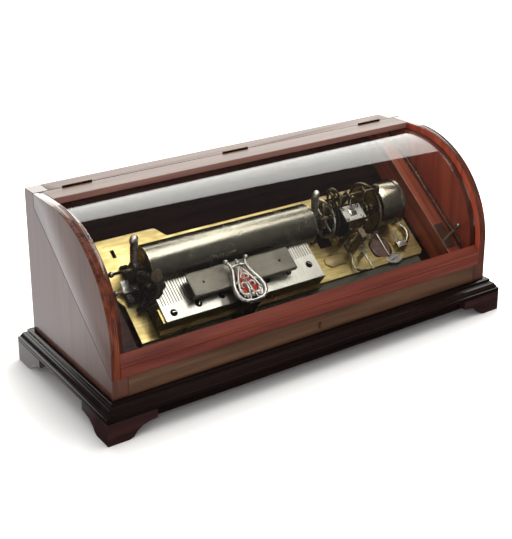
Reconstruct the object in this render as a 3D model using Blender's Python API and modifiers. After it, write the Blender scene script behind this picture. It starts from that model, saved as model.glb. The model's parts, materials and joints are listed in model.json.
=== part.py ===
"""A cylinder music box.

A mahogany case on a stepped plinth has a lid of bent glass between two quarter-round cheeks. The movement
lies on a bed that slopes up to the back, parallel to the slanting joint between the lid and the body. The
frame has +Z up, the front of the case towards -Y and the floor at zero height.
"""

import math

import bmesh
import bpy
from mathutils import Vector

# Driving sizes of the case, in metres
BODY_LENGTH = 0.900
BODY_DEPTH = 0.330
BODY_TOP = 0.366
SEAM_FRONT = 0.107
SEAM_BACK = 0.338
WALL = 0.032
FRONT_WALL = 0.018
BACK_WALL = 0.018
TOP_STRIP_DEPTH = 0.040
TOP_BOARD = 0.018
FIT = 0.0003
CUT_OVERRUN = 0.010
WELD = 0.00002

# Feet, base board and plinth moulding
FOOT_HEIGHT = 0.043
FOOT_THICK = 0.018
FOOT_WING = 0.100
FOOT_FLAT = 0.042
FOOT_ARCH = 0.025
BASE_THICK = 0.0244
PLINTH_OVERHANG = 0.025
PLINTH_HEIGHT = 0.028
PLINTH_SHARES = (
    (0.24, 1.00),
    (0.42, 0.94),
    (0.42, 0.75),
    (0.52, 0.70),
    (0.72, 0.62),
    (0.78, 0.48),
    (0.86, 0.42),
    (0.86, 0.32),
    (1.00, 0.27),
    (1.00, 0.00),
)
ARCH_SHARES = ((0.00, 0.00), (0.15, 0.12), (0.27, 0.48), (0.50, 0.83), (0.75, 0.96), (1.00, 1.00))

# Linings beside the movement, keyhole and lock
LINING = 0.035
STAY_GROOVE = 0.005
KEYHOLE_X = 0.003
KEYHOLE_Z = 0.086
KEYHOLE_HEIGHT = 0.012
KEYHOLE_WIDTH = 0.0026
LOCK_WIDTH = 0.060
LOCK_HEIGHT = 0.034
LOCK_DEPTH = 0.014
LOCK_DROP = 0.016

# Lid
LID_RADIUS = 0.210
CHEEK_BOARD = 0.018
GLASS_THICK = 0.003
GLASS_INSET = 0.013
GLASS_FOOT = 0.023
GLASS_TAIL = 0.005
RAIL_DEPTH = 0.047
BOTTOM_RAIL_BEVEL_FOOT = 0.029
BOTTOM_RAIL_GROOVE = 0.0205
BOTTOM_RAIL_GROOVE_SIZE = 0.0012
LID_ARC_STEPS = 24

# Hinges
HINGE_LENGTH = 0.061
HINGE_RADIUS = 0.0019
HINGE_PIN_RADIUS = 0.0009
HINGE_LEAF = 0.0012
HINGE_LEAF_DROP = 0.010
HINGE_INSET = 0.090
HINGE_KNUCKLE_SHARE = 1 / 3

# Lid stay, measured along the slanting joint from its front end
STAY_PIVOT_ALONG = 0.290
STAY_PIVOT_ABOVE = 0.006
STAY_LENGTH = 0.233
STAY_WIDTH = 0.007
STAY_THICK = 0.003
STAY_BOSS = 0.0032
BRACKET_START = 0.057
BRACKET_LENGTH = 0.058
BRACKET_WIDTH = 0.026
BRACKET_THICK = 0.0025
BRACKET_POST_ALONG = 0.082
BRACKET_POST_RADIUS = 0.003
BRACKET_POST_HEIGHT = 0.036
BRACKET_KNOB_RADIUS = 0.006

# Bed: x to the right, s up the slope from the front, h square to the bed. An inset is from the bed's nearer end
# along x, or from its right end for the wheel train and the comb
BED_BELOW_SEAM = 0.054
BED_THICK = 0.006
BED_GAP_LEFT = 0.028
BED_GAP_RIGHT = 0.014
BED_BACK = 0.275
BED_BACK_LEFT = 0.298
BED_FRONT = 0.083
BED_FRONT_LEFT = 0.072
BED_STEP = 0.009
BED_STEP_LOW = 0.150
BED_STEP_HIGH = 0.169
BED_OGEE_BACK = 0.215
BED_OGEE_FRONT = 0.221
BED_OGEE_RUN = 0.026
BED_CORNER = 0.008
DECK_THICK = 0.018
DECK_FRONT = 0.002
SLOT_LEFT_INSET = 0.030
SLOT_FRONT = 0.255
SLOT_LENGTH = 0.017
SLOT_WIDTH = 0.007
CUTOUT_LEFT_INSET = 0.125
CUTOUT_RIGHT_INSET = 0.073
CUTOUT_FRONT = 0.101
CUTOUT_BACK = 0.143
WHEEL_OPENING_LEFT_INSET = 0.240
WHEEL_OPENING_RIGHT_INSET = 0.206
WHEEL_OPENING_FRONT = 0.157
WHEEL_OPENING_BACK = 0.244

# Main axis, cylinder and its bearings
AXIS_S = 0.2015
AXIS_H = 0.045
CYLINDER_LEFT_INSET = 0.053
CYLINDER_RIGHT_INSET = 0.277
CYLINDER_RADIUS = 0.041
CYLINDER_WALL = 0.003
ARBOR_RADIUS = 0.004
ARBOR_PLATE = 0.003
ARBOR_RECESS = 0.001
ARBOR_OVERHANG = 0.003
BEARING_LEFT_INSET = 0.032
BEARING_RIGHT_INSET = 0.259
BEARING_THICK = 0.014
BEARING_HEAD = 0.014
BEARING_FOOT = 0.060
BEARING_FOOT_HEIGHT = 0.008
BEARING_NECK = 0.022
HORN_TIP_S = 0.0435
HORN_TIP_H = 0.050
HORN_WIDTH = 0.005

# Wheel train
MODULE = 0.001
TOOTH_TIP_SHARE = 0.6
TOOTH_ROOT_SHARE = 1.2
WHEEL_THICK = 0.003
GREAT_WHEEL_THICK = 0.004
RIM = 0.005
WHEEL_HUB = 0.008
SPOKE = 0.004
SPOKES = 6
CYLINDER_WHEEL_INSET = 0.230
CYLINDER_WHEEL_TEETH = 82
DRIVE_WHEEL_INSET = 0.216
DRIVE_WHEEL_TEETH = 76
GREAT_WHEEL_INSET = 0.118
GREAT_WHEEL_TEETH = 110
LAY_WHEEL_TEETH = 46
LAY_PINION_TEETH = 18
LAY_ANGLE = math.radians(83.7)
LAY_SHAFT_RADIUS = 0.0025
LAY_DRUM_RADIUS = 0.009
LAY_DRUM = 0.014
LAY_DRUM_GAP = 0.003
PINION_FACE = 0.007
GOVERNOR_ANGLE = math.radians(200)
GOVERNOR_PINION_TEETH = 20
GOVERNOR_SHAFT_RADIUS = 0.002
GOVERNOR_PINION_FACE = 0.005
WORM_WHEEL_RADIUS = 0.009
WORM_WHEEL_THICK = 0.003
WORM_WHEEL_INSET = 0.176
WORM_RADIUS = 0.003
WORM_LENGTH = 0.016
FLY_RADIUS = 0.011
FLY_HEIGHT = 0.014
FLY_BLADE = 0.0012
FLY_SHAFT_RADIUS = 0.0015
FLY_TOP = 0.062
FLY_FOOT = 0.007
COCK_WIDTH = 0.014
COCK_POST = 0.006
COCK_ARM = 0.006
FLY_CLEAR = 0.001

# Cage round the wheel train
CAGE_LEFT_INSET = 0.198
CAGE_RIGHT_INSET = 0.156
CAGE_PLATE = 0.003
CAGE_FRONT = 0.146
CAGE_TOP_FRONT = 0.166
CAGE_BACK = 0.252
CAGE_TOP = 0.075
CAGE_HORN_TOP = 0.117
CAGE_HORN_FRONT = 0.2015
CAGE_HORN_BACK = 0.217
CAGE_SHOULDER = 0.050
CAGE_TOP_PLATE = 0.003
CAGE_TOP_OVERHANG = 0.006
CAGE_LEG = 0.010

# Spring barrel
BARREL_LEFT_INSET = 0.102
BARREL_RIGHT_INSET = 0.042
BARREL_RADIUS = 0.047
BARREL_RIM = 0.002
BARREL_RIM_WIDTH = 0.007
BARREL_WALL = 0.003
BARREL_HUB = 0.012
WINDING_ARBOR_RADIUS = 0.006
RATCHET_RADIUS = 0.018
RATCHET_THICK = 0.004
RATCHET_GAP = 0.003
SPRING_CLEAR = 0.002
BARREL_BRACKET_INSET = 0.036
BARREL_CLEAR = 0.003
BARREL_BRACKET_THICK = 0.010
BARREL_BRACKET_FOOT = 0.070

# Comb and its base
COMB_LEFT_INSET = 0.051
COMB_RIGHT_INSET = 0.298
COMB_FRONT = 0.081
COMB_THICK = 0.004
COMB_TEETH = 62
COMB_GAP_SHARE = 0.30
ROOT_LEFT = 0.112
ROOT_RIGHT = 0.134
COMB_BASE_FRONT = 0.073
COMB_BASE_BACK = 0.134
COMB_BASE_FLANGE = 0.008
COMB_BASE_TOP_BACK = 0.112
COMB_BASE_OVERHANG = 0.006

# Zither attachment and the lyre over it
ZITHER_LEFT_INSET = 0.115
ZITHER_RIGHT_INSET = 0.363
ZITHER_FRONT = 0.104
ZITHER_BACK = 0.153
ZITHER_TOP = 0.068
ZITHER_THICK = 0.002
ZITHER_LIP = 0.010
ROLL_RADIUS = 0.008
ROLL_S = 0.144
ROLL_MARGIN = 0.007
LYRE_OFFSET = 0.0105
LYRE_WIDTH = 0.065
LYRE_FRONT = 0.060
LYRE_LENGTH = 0.095
LYRE_H = 0.076
LYRE_THICK = 0.002
LYRE_BRACKET_WIDTH = 0.027
LYRE_BRACKET_FRONT = 0.056
LYRE_ARM_LOW = 0.050
LYRE_ARM_END_LOW = 0.057
LYRE_ARM_TOP = 0.064
LYRE_SHARES = (
    (0.10, 0.00),
    (0.34, 0.04),
    (0.48, 0.16),
    (0.50, 0.32),
    (0.42, 0.48),
    (0.32, 0.62),
    (0.27, 0.78),
    (0.30, 0.88),
    (0.37, 0.93),
    (0.35, 1.00),
    (0.26, 1.00),
    (0.19, 0.90),
)
LYRE_WINDOW_SHARES = ((0.06, 0.20), (0.28, 0.18), (0.36, 0.31), (0.28, 0.48), (0.15, 0.72), (0.06, 0.76))

# Levers and change rod
LEVER_HEIGHT = 0.025
LEVER_RADIUS = 0.002
LEVER_HUB = 0.005
LEVER_KNOB = 0.004
START_INSET = 0.110
START_S = 0.149
START_BACK = 0.016
START_REACH = 0.058
CHANGE_INSET = 0.165
CHANGE_S = 0.112
CHANGE_REACH = 0.040
CHANGE_BACK = 0.002
ROD_RADIUS = 0.003
ROD_GAP = 0.011
ROD_BALL = 0.006

# Levels that follow from the sizes above
HALF = BODY_LENGTH / 2
FRONT = -BODY_DEPTH / 2
BACK = BODY_DEPTH / 2
BODY_BOTTOM = FOOT_HEIGHT
HINGE_LINE = BACK - TOP_STRIP_DEPTH
TILT = math.atan2(SEAM_BACK - SEAM_FRONT, HINGE_LINE - FRONT)
INNER_WALL = HALF - WALL
LINING_OUTER = INNER_WALL - STAY_GROOVE
LINING_INNER = LINING_OUTER - LINING
BED_LEFT = LINING_INNER - BED_GAP_LEFT
BED_RIGHT = LINING_INNER - BED_GAP_RIGHT
ROD_END = LINING_INNER - ROD_GAP
HINGE_SPACING = HALF - HINGE_INSET
INNER_FRONT = FRONT + FRONT_WALL + FIT
INNER_BACK = BACK - BACK_WALL - FIT
ARC_Y = FRONT + LID_RADIUS
ARC_Z = BODY_TOP - LID_RADIUS
LID_BACK = HINGE_LINE - FIT
GLASS_OUTER = LID_RADIUS - GLASS_INSET
GLASS_INNER = GLASS_OUTER - GLASS_THICK
CHEEK_INNER = HALF - WALL
WINDOW_HALF = HALF - CHEEK_BOARD - FIT
HINGE_Y = HINGE_LINE - FIT / 2
HINGE_Z = BODY_TOP + HINGE_RADIUS + FIT
LAY_DISTANCE = (CYLINDER_WHEEL_TEETH + LAY_WHEEL_TEETH) * MODULE / 2
GOVERNOR_DISTANCE = (DRIVE_WHEEL_TEETH + GOVERNOR_PINION_TEETH) * MODULE / 2
COCK_REACH = 2 * COCK_POST + FLY_RADIUS + FLY_CLEAR
COMB_TOP = AXIS_H
COMB_UNDER = COMB_TOP - COMB_THICK
CREASE = math.radians(35)
TURN_STEPS = 40
SMALL_STEPS = 14

# Places of the movement along the case, from the left and the right end of its bed
SLOT_LEFT = BED_LEFT - SLOT_LEFT_INSET
CYLINDER_LEFT = BED_LEFT - CYLINDER_LEFT_INSET
BEARING_LEFT = BED_LEFT - BEARING_LEFT_INSET
COMB_LEFT = BED_LEFT - COMB_LEFT_INSET
ZITHER_LEFT = BED_LEFT - ZITHER_LEFT_INSET
CUTOUT_LEFT = BED_RIGHT - CUTOUT_LEFT_INSET
CUTOUT_RIGHT = BED_RIGHT - CUTOUT_RIGHT_INSET
WHEEL_OPENING_LEFT = BED_RIGHT - WHEEL_OPENING_LEFT_INSET
WHEEL_OPENING_RIGHT = BED_RIGHT - WHEEL_OPENING_RIGHT_INSET
CYLINDER_RIGHT = BED_RIGHT - CYLINDER_RIGHT_INSET
BEARING_RIGHT = BED_RIGHT - BEARING_RIGHT_INSET
CYLINDER_WHEEL_X = BED_RIGHT - CYLINDER_WHEEL_INSET
DRIVE_WHEEL_X = BED_RIGHT - DRIVE_WHEEL_INSET
GREAT_WHEEL_X = BED_RIGHT - GREAT_WHEEL_INSET
WORM_WHEEL_X = BED_RIGHT - WORM_WHEEL_INSET
CAGE_LEFT = BED_RIGHT - CAGE_LEFT_INSET
CAGE_RIGHT = BED_RIGHT - CAGE_RIGHT_INSET
BARREL_LEFT = BED_RIGHT - BARREL_LEFT_INSET
BARREL_RIGHT = BED_RIGHT - BARREL_RIGHT_INSET
BARREL_BRACKET = BED_RIGHT - BARREL_BRACKET_INSET
COMB_RIGHT = BED_RIGHT - COMB_RIGHT_INSET
ZITHER_RIGHT = BED_RIGHT - ZITHER_RIGHT_INSET
START_X = BED_RIGHT - START_INSET
CHANGE_X = BED_RIGHT - CHANGE_INSET
LYRE_X = (ZITHER_LEFT - ZITHER_RIGHT) / 2 + LYRE_OFFSET

FINISHES = {
    "mahogany": ((0.20, 0.052, 0.026), 0.28, 0.0),
    "dark_plinth": ((0.022, 0.010, 0.009), 0.25, 0.0),
    "deck": ((0.10, 0.045, 0.030), 0.55, 0.0),
    "glass": ((0.92, 0.95, 0.94), 0.02, 0.0),
    "gilt": ((0.66, 0.50, 0.20), 0.35, 0.9),
    "brass": ((0.62, 0.48, 0.22), 0.30, 1.0),
    "steel": ((0.56, 0.55, 0.52), 0.28, 1.0),
    "nickel": ((0.50, 0.47, 0.42), 0.30, 1.0),
    "iron": ((0.030, 0.028, 0.027), 0.45, 0.6),
    "cylinder": ((0.36, 0.33, 0.26), 0.35, 1.0),
    "felt": ((0.030, 0.022, 0.020), 0.90, 0.0),
}

for old in list(bpy.data.objects):
    bpy.data.objects.remove(old)

PARTS = bpy.data.collections.new("cylinder_music_box")
CUTTERS = bpy.data.collections.new("cutters")
bpy.context.scene.collection.children.link(PARTS)
bpy.context.scene.collection.children.link(CUTTERS)

FACING = {
    "X": (math.radians(90), 0, math.radians(90)),
    "Y": (math.radians(90), 0, 0),
    "Z": (0, 0, 0),
}
TURNING = {"X": (0, math.radians(90), 0), "Z": (0, 0, 0)}


def finish_material(finish):
    """The Principled material of a finish, made the first time it is asked for."""
    if finish in bpy.data.materials:
        return bpy.data.materials[finish]
    colour, roughness, metallic = FINISHES[finish]
    material = bpy.data.materials.new(finish)
    material.use_nodes = True
    shader = material.node_tree.nodes["Principled BSDF"]
    shader.inputs["Base Color"].default_value = (*colour, 1)
    shader.inputs["Roughness"].default_value = roughness
    shader.inputs["Metallic"].default_value = metallic
    return material


def place(name, mesh, finish, at, rotation, parent):
    """Puts a finished mesh in the parts collection under its node's name."""
    mesh.materials.clear()
    mesh.materials.append(finish_material(finish))
    part = bpy.data.objects.new(name, mesh)
    part.rotation_euler = rotation
    part.location = at
    part.parent = parent
    PARTS.objects.link(part)
    return part


def guide(part):
    """Turns an object into a cutter or a shape that another one takes in."""
    PARTS.objects.unlink(part)
    CUTTERS.objects.link(part)
    part.hide_render = True
    part.display_type = "WIRE"
    return part


def combine(target, other, operation):
    modifier = target.modifiers.new(operation.lower() + "_" + other.name, "BOOLEAN")
    modifier.operation = operation
    modifier.solver = "EXACT"
    modifier.object = guide(other)


def empty(name, at, rotation=(0, 0, 0), parent=None):
    """An axis or a frame that pieces are parented to."""
    frame = bpy.data.objects.new(name, None)
    frame.empty_display_size = RIM
    frame.location = at
    frame.rotation_euler = rotation
    frame.parent = parent
    PARTS.objects.link(frame)
    return frame


def block(name, low, high, finish, parent=None):
    """A board or block between two corners."""
    low, high = Vector(low), Vector(high)
    bm = bmesh.new()
    bmesh.ops.create_cube(bm, size=1)
    bmesh.ops.scale(bm, vec=high - low, verts=bm.verts)
    mesh = bpy.data.meshes.new(name)
    bm.to_mesh(mesh)
    bm.free()
    return place(name, mesh, finish, (low + high) / 2, (0, 0, 0), parent)


def plate(name, outlines, thickness, facing, at, finish, parent=None):
    """A flat outline with its holes, given a thickness across the facing axis."""
    curve = bpy.data.curves.new(name, "CURVE")
    curve.dimensions = "2D"
    curve.fill_mode = "BOTH"
    curve.extrude = thickness / 2
    curve.render_resolution_u = 0
    for outline in outlines:
        spline = curve.splines.new("POLY")
        spline.points.add(len(outline) - 1)
        for point, (across, up) in zip(spline.points, outline):
            point.co = (across, up, 0, 1)
        spline.use_cyclic_u = True
    drawn = bpy.data.objects.new(name + "_outline", curve)
    PARTS.objects.link(drawn)
    mesh = bpy.data.meshes.new_from_object(drawn.evaluated_get(bpy.context.evaluated_depsgraph_get()))
    bpy.data.objects.remove(drawn)
    mesh.name = name
    bm = bmesh.new()
    bm.from_mesh(mesh)
    bmesh.ops.remove_doubles(bm, verts=bm.verts, dist=WELD)
    bmesh.ops.recalc_face_normals(bm, faces=bm.faces)
    bm.to_mesh(mesh)
    bm.free()
    mesh.set_sharp_from_angle(angle=CREASE)
    return place(name, mesh, finish, at, FACING[facing], parent)


def turned(name, profile, facing, at, finish, parent=None, steps=TURN_STEPS, closed=False):
    """A turned piece: its profile of (radius, height) runs down the outer side, then a Screw turns it."""
    bm = bmesh.new()
    points = [bm.verts.new((radius, 0, height)) for radius, height in profile]
    for start, end in zip(points, points[1:]):
        bm.edges.new((start, end))
    if closed:
        bm.edges.new((points[-1], points[0]))
    mesh = bpy.data.meshes.new(name)
    bm.to_mesh(mesh)
    bm.free()
    part = place(name, mesh, finish, at, TURNING[facing], parent)
    screw = part.modifiers.new("turn", "SCREW")
    screw.steps = steps
    screw.render_steps = steps
    screw.use_merge_vertices = True
    screw.merge_threshold = WELD
    screw.use_smooth_shade = True
    return part


def rod(name, radius, length, facing, at, finish, parent=None, steps=SMALL_STEPS):
    """A plain round rod, centred on its place."""
    half = length / 2
    profile = [(0, half), (radius, half), (radius, -half), (0, -half)]
    return turned(name, profile, facing, at, finish, parent, steps)


def ball_profile(radius, height, steps=8):
    """The outer side of a ball, top to bottom, without its two poles."""
    angles = [math.pi * (step + 1) / steps for step in range(steps - 1)]
    return [(radius * math.sin(angle), height + radius * math.cos(angle)) for angle in angles]


def rectangle(low, high):
    return [(low[0], low[1]), (high[0], low[1]), (high[0], high[1]), (low[0], high[1])]


def circle(radius, steps=SMALL_STEPS, centre=(0, 0)):
    return arc(centre, radius, 0, math.tau * (1 - 1 / steps), steps - 1)


def arc(centre, radius, start, end, steps):
    """Points on an arc, both ends included."""
    angles = [start + (end - start) * step / steps for step in range(steps + 1)]
    return [(centre[0] + radius * math.cos(a), centre[1] + radius * math.sin(a)) for a in angles]


def ogee(start, end, steps=8):
    """An S-curve that leaves and meets its ends level with the first axis."""
    points = []
    for step in range(steps + 1):
        t = step / steps
        rise = t * t * (3 - 2 * t)
        points.append((start[0] + (end[0] - start[0]) * t, start[1] + (end[1] - start[1]) * rise))
    return points


def rounded(points, radius, steps=3):
    """The outline with each corner cut to an arc-like curve that stays inside it."""
    result = []
    for index, corner in enumerate(points):
        corner = Vector(corner)
        before = Vector(points[index - 1])
        after = Vector(points[(index + 1) % len(points)])
        start = corner + (before - corner).normalized() * radius
        end = corner + (after - corner).normalized() * radius
        for step in range(steps + 1):
            t = step / steps
            spot = start * (1 - t) ** 2 + corner * 2 * t * (1 - t) + end * t ** 2
            result.append((spot.x, spot.y))
    return result


def seam(y):
    """Height of the slanting joint above a place y of the side."""
    return SEAM_FRONT + (y - FRONT) * math.tan(TILT)


def toothed(teeth, phase=0.0):
    """A wheel's outline with one tooth tip at the phase angle."""
    pitch = teeth * MODULE / 2
    tip = pitch + TOOTH_TIP_SHARE * MODULE
    root = pitch - TOOTH_ROOT_SHARE * MODULE
    points = []
    for tooth in range(teeth):
        angle = phase + math.tau * tooth / teeth
        valley = angle + math.pi / teeth
        points.append((tip * math.cos(angle), tip * math.sin(angle)))
        points.append((root * math.cos(valley), root * math.sin(valley)))
    return points


def windows(outer, inner, spoke, count):
    """The gaps between a wheel's spokes."""
    gaps = []
    for index in range(count):
        middle = math.tau * (index + 1 / 2) / count
        wide = math.pi / count - spoke / outer / 2
        narrow = math.pi / count - spoke / inner / 2
        rim = arc((0, 0), outer, middle - wide, middle + wide, 5)
        hub = arc((0, 0), inner, middle + narrow, middle - narrow, 2)
        gaps.append(rim + hub)
    return gaps


def spoked_wheel(name, teeth, thickness, x, bore, phase, finish, parent):
    """A toothed wheel with spokes, on the axis of its parent."""
    rim = teeth * MODULE / 2 - TOOTH_ROOT_SHARE * MODULE - RIM
    outlines = [toothed(teeth, phase), circle(bore)] + windows(rim, WHEEL_HUB, SPOKE, SPOKES)
    return plate(name, outlines, thickness, "X", (x, 0, 0), finish, parent)


def mitre(part, point, normal):
    """Cuts a moulding off square to a plane and closes the cut."""
    bm = bmesh.new()
    bm.from_mesh(part.data)
    turn = part.rotation_euler.to_matrix()
    local_point = turn.inverted() @ (Vector(point) - part.location)
    local_normal = turn.inverted() @ Vector(normal)
    everything = bm.verts[:] + bm.edges[:] + bm.faces[:]
    cut = bmesh.ops.bisect_plane(
        bm, geom=everything, plane_co=local_point, plane_no=local_normal, clear_outer=True, dist=WELD
    )
    edges = [item for item in cut["geom_cut"] if isinstance(item, bmesh.types.BMEdge)]
    bmesh.ops.contextual_create(bm, geom=edges)
    bmesh.ops.recalc_face_normals(bm, faces=bm.faces)
    bm.to_mesh(part.data)
    bm.free()


def make_plinth():
    """Four mitred lengths of the stepped moulding round the foot of the case."""
    profile = [(out * PLINTH_OVERHANG, BODY_BOTTOM + up * PLINTH_HEIGHT) for out, up in PLINTH_SHARES]
    profile = [(FIT, BODY_BOTTOM + PLINTH_HEIGHT)] + profile + [(FIT, BODY_BOTTOM)]
    span = BODY_LENGTH + 2 * PLINTH_OVERHANG + CUT_OVERRUN
    depth = BODY_DEPTH + 2 * PLINTH_OVERHANG + CUT_OVERRUN
    half_gap = FIT / 2
    for name, side in (("front", -1), ("back", 1)):
        outline = [(side * (BACK + out), up) for out, up in profile]
        part = plate("plinth_moulding_" + name, [outline], span, "X", (0, 0, 0), "dark_plinth")
        for end in (-1, 1):
            mitre(part, (end * (HALF - half_gap), side * BACK, 0), (end, -side, 0))
    for name, side in (("left", -1), ("right", 1)):
        outline = [(side * (HALF + out), up) for out, up in profile]
        part = plate("plinth_moulding_" + name, [outline], depth, "Y", (0, 0, 0), "dark_plinth")
        for end in (-1, 1):
            mitre(part, (side * (HALF + half_gap), end * BACK, 0), (-side, end, 0))


def make_feet():
    """Bracket feet: an L in plan, whose two wings are cut to an arch."""
    top = FOOT_HEIGHT - FIT
    out_x = HALF + PLINTH_OVERHANG
    out_y = BACK + PLINTH_OVERHANG
    run = FOOT_WING - FOOT_FLAT
    arch = [(FOOT_FLAT + along * run, up * FOOT_ARCH) for along, up in ARCH_SHARES]
    arch += [(FOOT_WING + CUT_OVERRUN, FOOT_ARCH), (FOOT_WING + CUT_OVERRUN, -CUT_OVERRUN)]
    arch += [(FOOT_FLAT, -CUT_OVERRUN)]
    for row, side_y in (("front", -1), ("back", 1)):
        for column, side_x in (("left", -1), ("right", 1)):
            plan = [
                (0, 0),
                (FOOT_WING, 0),
                (FOOT_WING, FOOT_THICK),
                (FOOT_THICK, FOOT_THICK),
                (FOOT_THICK, FOOT_WING),
                (0, FOOT_WING),
            ]
            plan = [(side_x * (out_x - a), side_y * (out_y - b)) for a, b in plan]
            name = "foot_" + row + "_" + column
            foot = plate(name, [plan], top, "Z", (0, 0, top / 2), "dark_plinth")
            front_arch = [(side_x * (out_x - a), up) for a, up in arch]
            side_arch = [(side_y * (out_y - a), up) for a, up in arch]
            reach = 2 * FOOT_WING
            cutter = plate(name + "_arch", [front_arch], reach, "Y", (0, side_y * out_y, 0), "dark_plinth")
            combine(foot, cutter, "DIFFERENCE")
            spot = (side_x * out_x, 0, 0)
            cutter = plate(name + "_side_arch", [side_arch], reach, "X", spot, "dark_plinth")
            combine(foot, cutter, "DIFFERENCE")


def make_case():
    """Base, sides, front rail, back, top strip, linings, deck and lock."""
    base_x = HALF + PLINTH_OVERHANG - FOOT_THICK - FIT
    base_y = BACK + PLINTH_OVERHANG - FOOT_THICK - FIT
    base_top = BODY_BOTTOM - FIT
    block("base_board", (-base_x, -base_y, base_top - BASE_THICK), (base_x, base_y, base_top), "mahogany")
    side = [
        (FRONT, BODY_BOTTOM),
        (BACK, BODY_BOTTOM),
        (BACK, BODY_TOP),
        (HINGE_LINE, BODY_TOP),
        (HINGE_LINE, SEAM_BACK),
        (FRONT, SEAM_FRONT),
    ]
    lining = [
        (INNER_FRONT, BODY_BOTTOM),
        (INNER_BACK, BODY_BOTTOM),
        (INNER_BACK, SEAM_BACK),
        (HINGE_LINE, SEAM_BACK),
        (INNER_FRONT, seam(INNER_FRONT)),
    ]
    for name, sign in (("left", -1), ("right", 1)):
        middle = sign * (HALF - WALL / 2)
        plate("side_" + name, [side], WALL, "X", (middle, 0, 0), "mahogany")
        middle = sign * (LINING_INNER + LINING / 2)
        plate("lining_" + name, [lining], LINING, "X", (middle, 0, 0), "mahogany")
    reach = INNER_WALL - FIT
    rail = rectangle((-reach, BODY_BOTTOM), (reach, SEAM_FRONT))
    keyhole = rounded(
        rectangle(
            (KEYHOLE_X - KEYHOLE_WIDTH / 2, KEYHOLE_Z - KEYHOLE_HEIGHT / 2),
            (KEYHOLE_X + KEYHOLE_WIDTH / 2, KEYHOLE_Z + KEYHOLE_HEIGHT / 2),
        ),
        KEYHOLE_WIDTH / 3,
        2,
    )
    plate("front_rail", [rail, keyhole], FRONT_WALL, "Y", (0, FRONT + FRONT_WALL / 2, 0), "mahogany")
    board_top = BODY_TOP - TOP_BOARD - FIT
    block("back_board", (-reach, BACK - BACK_WALL, BODY_BOTTOM), (reach, BACK, board_top), "mahogany")
    block("top_strip", (-reach, HINGE_LINE, BODY_TOP - TOP_BOARD), (reach, BACK, BODY_TOP), "mahogany")
    lock_top = SEAM_FRONT - LOCK_DROP / 4
    block(
        "lock_case",
        (KEYHOLE_X - LOCK_WIDTH / 2, INNER_FRONT, lock_top - LOCK_HEIGHT),
        (KEYHOLE_X + LOCK_WIDTH / 2, INNER_FRONT + LOCK_DEPTH, lock_top),
        "brass",
    )


def make_lid(lid):
    """Cheeks with their rebate, rails and bent glass, all carried by the hinge axis."""
    origin = lid.location

    def held(x, y, z):
        return (x - origin.x, y - origin.y, z - origin.z)

    quarter = arc((ARC_Y, ARC_Z), LID_RADIUS, math.radians(90), math.radians(180), LID_ARC_STEPS)
    board = [(LID_BACK, BODY_TOP)] + quarter
    board += [(FRONT, SEAM_FRONT + FIT), (LID_BACK, SEAM_BACK + FIT)]
    seat = GLASS_INNER - FIT
    shelf = arc((ARC_Y, ARC_Z), seat, math.radians(90), math.radians(180), LID_ARC_STEPS)
    inner_y = ARC_Y - seat
    rebate = [(LID_BACK, ARC_Z + seat)] + shelf
    rebate += [(inner_y, seam(inner_y) + FIT), (LID_BACK, SEAM_BACK + FIT)]
    lap = CHEEK_BOARD / 4
    for name, sign in (("left", -1), ("right", 1)):
        middle = sign * (HALF - CHEEK_BOARD / 2)
        cheek = plate("lid_cheek_" + name, [board], CHEEK_BOARD, "X", held(middle, 0, 0), "mahogany", lid)
        width = HALF - CHEEK_BOARD + lap - CHEEK_INNER
        middle = sign * (CHEEK_INNER + width / 2)
        shoulder = plate(cheek.name + "_shoulder", [rebate], width, "X", held(middle, 0, 0), "mahogany", lid)
        combine(cheek, shoulder, "UNION")

    rail_bottom = BODY_TOP - GLASS_INSET + FIT
    rail_low = held(-WINDOW_HALF, LID_BACK - RAIL_DEPTH, rail_bottom)
    block("lid_top_rail", rail_low, held(WINDOW_HALF, LID_BACK, BODY_TOP), "mahogany", lid)

    foot = SEAM_FRONT + FIT
    glass_front = ARC_Y - GLASS_OUTER
    rail_back = glass_front - FIT
    groove = SEAM_FRONT + BOTTOM_RAIL_GROOVE
    size = BOTTOM_RAIL_GROOVE_SIZE
    bevel = SEAM_FRONT + BOTTOM_RAIL_BEVEL_FOOT
    rail = [
        (FRONT, foot),
        (rail_back, seam(rail_back) + FIT),
        (rail_back, bevel + rail_back - FRONT),
        (FRONT, bevel),
        (FRONT, groove + size / 2),
        (FRONT + size, groove + size / 4),
        (FRONT + size, groove - size / 4),
        (FRONT, groove - size / 2),
    ]
    plate("lid_bottom_rail", [rail], 2 * WINDOW_HALF, "X", held(0, 0, 0), "mahogany", lid)

    tail = LID_BACK - GLASS_TAIL
    low = SEAM_FRONT + GLASS_FOOT
    outer = arc((ARC_Y, ARC_Z), GLASS_OUTER, math.radians(90), math.radians(180), LID_ARC_STEPS)
    inner = arc((ARC_Y, ARC_Z), GLASS_INNER, math.radians(180), math.radians(90), LID_ARC_STEPS)
    sheet = [(tail, ARC_Z + GLASS_OUTER)] + outer + [(glass_front, low)]
    sheet += [(glass_front + GLASS_THICK, low)] + inner + [(tail, ARC_Z + GLASS_INNER)]
    plate("lid_glass", [sheet], 2 * WINDOW_HALF, "X", held(0, 0, 0), "glass", lid)


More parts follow.
